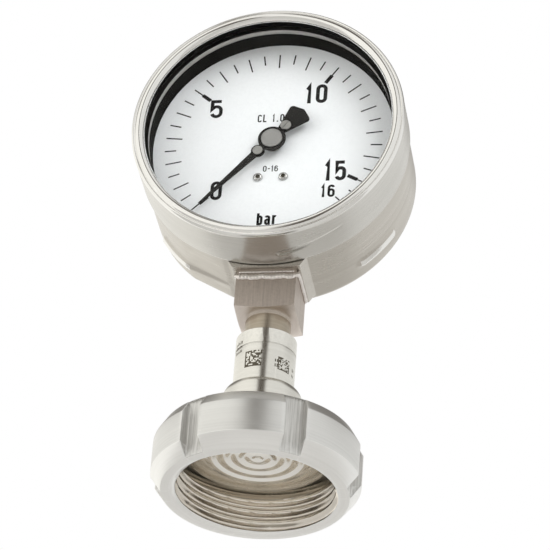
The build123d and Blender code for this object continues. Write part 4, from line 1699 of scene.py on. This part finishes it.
@dataclass
class DialFace(SubAssembly):
    """White dial with its printed scale, figures and fixing screws."""

    full_scale: int = 16
    zero_angle: float = 225.0
    sweep: float = 270.0
    outer_radius: float = 40.6
    long_inner: float = 34.5
    short_inner: float = 36.3
    bar_outer: float = 36.4
    bar_inner: float = 32.3
    thin: float = 0.52
    thick: float = 1.45
    ink_height: float = 0.03
    shank: float = 0.9
    major_step: int = 5
    narrow_share: float = 0.62
    letter_gap: float = 0.3
    captions: tuple[tuple[str, float, float, float, float, float], ...] = (
        ("0", -22.0, -24.3, 4.3, 8.2, 1.3),
        ("5", -24.8, 12.5, 4.7, 8.2, 1.35),
        ("10", 10.7, 17.8, 8.2, 8.5, 1.4),
        ("15", 19.8, -17.2, 8.0, 8.7, 1.4),
        ("16", 19.0, -24.4, 5.1, 5.4, 0.92),
        ("bar", -3.9, -35.9, 7.8, 5.2, 0.95),
        ("CL 1.0", -6.6, 9.9, 10.0, 3.4, 0.52),
        ("0-16", -3.1, -12.4, 5.6, 2.6, 0.4),
    )

    def build(self) -> None:
        """Prints the scale and the figures, and dresses the dial and its screws."""
        self.dress(Finishes.DIAL, "dial")
        self._screws()
        self.dress(Finishes.BRONZE, "dial_standoffs")
        self.stand_in(self._scale(), Finishes.INK, None, self.body)
        self.stand_in(self._figures(), Finishes.INK, None, self.body)

    def _screws(self) -> None:
        """Turns the two domed screws with their sunken drives, painted dark inside as shade."""
        low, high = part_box("dial_screws")
        head = (high.z - low.z) / (2 * MM)
        top, bottom = ((DIAL.origin.y - place) / MM for place in (low.y, high.y))
        outline = Shaper.soften([
            (0.0, top - 0.75), (
                head * 0.38, top - 0.75
            ), (head * 0.45, top - 0.05), (head * 0.6, top),
            (head * 0.9, top - 0.35), (head, top - 0.95), (head, 0.0), (self.shank, 0.0),
            (self.shank, bottom), (0.0, bottom),
        ], 0.12, 2)
        middle = (low.z + high.z) / 2
        nodes = ("dial_screws",)
        for name, across in (
            ("dial_screw_left", low.x + head * MM), ("dial_screw_right", high.x - head * MM)
        ):
            place = Placement(Vector((across, DIAL.origin.y, middle)), DIAL.turn)
            screw = Shaper.lathe(name, outline, place, 48)
            for face in screw.data.polygons:
                # Painted shade: the faces sunk in the drive get the dark burnt steel.
                in_drive_shade = DIAL.origin.y - face.center.y < (top - 0.15) * MM
                near = math.hypot(face.center.x - across, face.center.z - middle) < head * 0.5 * MM
                face.material_index = int(in_drive_shade and near)
            self.stand_in(
                screw, Finishes.SCREW, "small_screws", self.body, *nodes, more=(Finishes.BURNT_AND_SHADE,)
            )
            nodes = ()

    def _scale(self) -> Object:
        """Half-unit lines with a heavy bar at every major one."""
        grid = bmesh.new()
        lines = self.full_scale * 2
        for step in range(lines + 1):
            angle = math.radians(self.zero_angle - self.sweep * step / lines)
            major = step % (self.major_step * 2) == 0
            plain = self.short_inner if step % 2 else self.long_inner
            inner = self.bar_outer - 0.2 if major else plain
            self._line(grid, angle, inner, self.outer_radius, self.thin)
            if major:
                self._line(grid, angle, self.bar_inner, self.bar_outer, self.thick)
        return Shaper.object_from("dial_scale_print", grid)

    def _line(self, grid: BMesh, angle: float, inner: float, outer: float, width: float) -> None:
        """Adds one printed line that points at the centre.

        Args:
            grid: mesh that gets the line.
            angle: angle about the dial in radians.
            inner: radius of its inner end.
            outer: radius of its outer end.
            width: width of the line.
        """
        ends = [(reach * math.cos(angle), reach * math.sin(angle)) for reach in (inner, outer)]
        Shaper.ribbon(grid, ends, width, DIAL, self.ink_height)

    def _figures(self) -> Object:
        """All figures and words of the dial."""
        grid = bmesh.new()
        for text, left, bottom, width, height, stroke in self.captions:
            shares = [self.narrow_share if letter in "1.- " else 1.0 for letter in text]
            gap = self.letter_gap if len(text) > 1 else 0.0
            unit = width / (sum(shares) + gap * (len(text) - 1))
            x = left
            for letter, share in zip(text, shares):
                glyph = Glyph(stroke / height, unit * share / height)
                for path, closed in glyph.strokes(letter):
                    points = [(x + u * height, bottom + v * height) for u, v in path]
                    Shaper.ribbon(grid, points, stroke, DIAL, self.ink_height, closed=closed)
                x += unit * (share + gap)
        return Shaper.object_from("dial_figures_print", grid)


@dataclass
class PointerSet(SubAssembly):
    """Black pointer on its arbor, with the cap, the rivet and the adjusting screw."""

    body: str = "pointer"

    def build(self) -> None:
        """Dresses the pointer's nodes."""
        self.dress(Finishes.LACQUER, "pointer")
        self.dress(Finishes.CAP, "pointer_hub")
        self.dress(Finishes.RIVET, "pointer_rivet", "pointer_adjuster")
        self.dress(Finishes.SCREW, "pinion_arbor", "hairspring_collet")


@dataclass
class Movement(SubAssembly):
    """Plates, gears, link and Bourdon tube behind the dial."""

    def build(self) -> None:
        """Dresses every piece of the movement."""
        self.dress(
            Finishes.MOVEMENT, "front_plate", "back_plate", "pivot_bushes", "movement_bracket",
            "link"
        )
        self.dress(
            Finishes.SCREW, "plate_pillars", "movement_screws", "bracket_screws", "sector_arbor",
            "tail_pin", "tip_screw",
        )
        self.dress(Finishes.BRONZE, "sector_gear", "hairspring_stud")
        self.dress(Finishes.TUBE, "tube_tip", "bourdon_tube")
        self.dress(Finishes.SPRING, "hairspring")


# ---------------------------------------------------------------- studio

@dataclass
class Studio:
    """Floor, light and camera."""

    azimuth: float = 10.976
    elevation: float = -32.439
    roll: float = 4.464
    distance: float = 1.1294
    lens: float = 200.3
    aim: tuple[float, float, float] = (-0.0006, 0.0087, 0.0970)
    gap_azimuth: float = 5.0
    floor_drop: float = 1.3
    floor_size: float = 8.0

    def build(self) -> None:
        """Sets up the floor, the sky, the soft boxes and the camera."""
        self._floor()
        self._sky()
        self._soft_box("key light", (0.9, -1.2, 0.9), 0.9, 7.0)
        self._soft_box("fill light", (-1.3, -0.7, 0.3), 1.0, 4.0)
        self._camera()
        bpy.context.scene.view_settings.view_transform = "Standard"

    def _floor(self) -> None:
        """Plain pale floor, far below the stem."""
        bpy.ops.mesh.primitive_plane_add(
            size=self.floor_size, location=(0.0, 0.0, -self.floor_drop)
        )
        floor = bpy.context.object
        floor.name = "studio_floor"
        floor.data.materials.append(Finishes.FLOOR.build())

    def _sky(self) -> None:
        """White surroundings with darker gaps between the soft light, for the metal to mirror."""
        world = bpy.data.worlds.new("studio")
        bpy.context.scene.world = world
        world.use_nodes = True
        sheet = Sheet(world.node_tree)
        way = sheet.add("TexCoord").outputs["Generated"]
        parts = sheet.add("SeparateXYZ", {0: way})
        gap_way = math.radians(self.gap_azimuth)
        right, forward = (math.cos(gap_way), math.sin(gap_way)), (
            math.sin(gap_way), -math.cos(gap_way)
        )
        across, toward = (
            sheet.math("ADD", sheet.math("MULTIPLY", parts.outputs[0], way_x),
                       sheet.math("MULTIPLY", parts.outputs[1], way_y))
            for way_x, way_y in (right, forward))
        width = sheet.math("ABSOLUTE", across)
        strip = sheet.math("MULTIPLY", sheet.spread(width, 0.125, 0.2, 1.0, 0.0),
                           sheet.spread(toward, 0.05, 0.25, 0.0, 1.0))
        ceiling = sheet.math("MULTIPLY", sheet.spread(parts.outputs[2], 0.5, 0.68, 0.0, 0.85),
                             sheet.spread(toward, 0.25, -0.2, 0.0, 1.0))
        warm = sheet.blend(
            sheet.spread(across, -0.5, 0.5, 0.0, 1.0), (1.04, 1.03, 0.98, 1.0),
            (0.86, 0.86, 0.84, 1.0)
        )
        lit = sheet.blend(sheet.math("MAXIMUM", strip, ceiling), warm, (0.1, 0.085, 0.07, 1.0))
        path = sheet.add("LightPath")
        seen = sheet.blend(path.outputs["Is Camera Ray"], lit, (1.0, 1.0, 1.0, 1.0))
        world.node_tree.links.new(seen, world.node_tree.nodes["Background"].inputs["Color"])

    def _soft_box(
        self, name: str, place: tuple[float, float, float], size: float, power: float
    ) -> None:
        """Adds a square soft light that points at the gauge.

        Args:
            name: name of the light.
            place: where it hangs, in metres.
            size: side of the square.
            power: its power in watts.
        """
        light = bpy.data.lights.new(name, "AREA")
        light.shape = "SQUARE"
        light.size = size
        light.energy = power
        lamp = bpy.data.objects.new(name, light)
        lamp.location = place
        lamp.rotation_euler = (Vector(self.aim) - Vector(place)).to_track_quat("-Z", "Y").to_euler()
        lamp.visible_glossy = False
        bpy.context.scene.collection.objects.link(lamp)

    def _camera(self) -> None:
        """Long lens from below and a little to the right, rolled slightly."""
        azimuth, elevation, roll = (
            math.radians(value) for value in (self.azimuth, self.elevation, self.roll)
        )
        level_share = math.cos(elevation)
        back = Vector((
            math.sin(azimuth) * level_share, -math.cos(azimuth) * level_share, math.sin(elevation),
        ))
        level = (-back).cross(Vector((0.0, 0.0, 1.0))).normalized()
        upright = level.cross(-back)
        right = level * math.cos(roll) + upright * math.sin(roll)
        up = upright * math.cos(roll) - level * math.sin(roll)
        data = bpy.data.cameras.new("camera")
        data.lens = self.lens
        data.sensor_width = 36.0
        data.clip_start, data.clip_end = 0.05, 50.0
        camera = bpy.data.objects.new("camera", data)
        place = Vector(self.aim) + back * self.distance
        axes = Matrix((right, up, back)).transposed().to_4x4()
        axes.translation = place
        camera.matrix_world = axes
        bpy.context.scene.collection.objects.link(camera)
        bpy.context.scene.camera = camera


def main() -> None:
    """Builds every sub-assembly in order."""
    logging.basicConfig(level=logging.INFO, format="%(name)s: %(message)s")
    for part in (
        UnionNut, DiaphragmSeal, Stem, Case, Bezel, Window, DialFace, PointerSet, Movement, Studio,
    ):
        part().build()


if __name__ == "__main__":
    main()
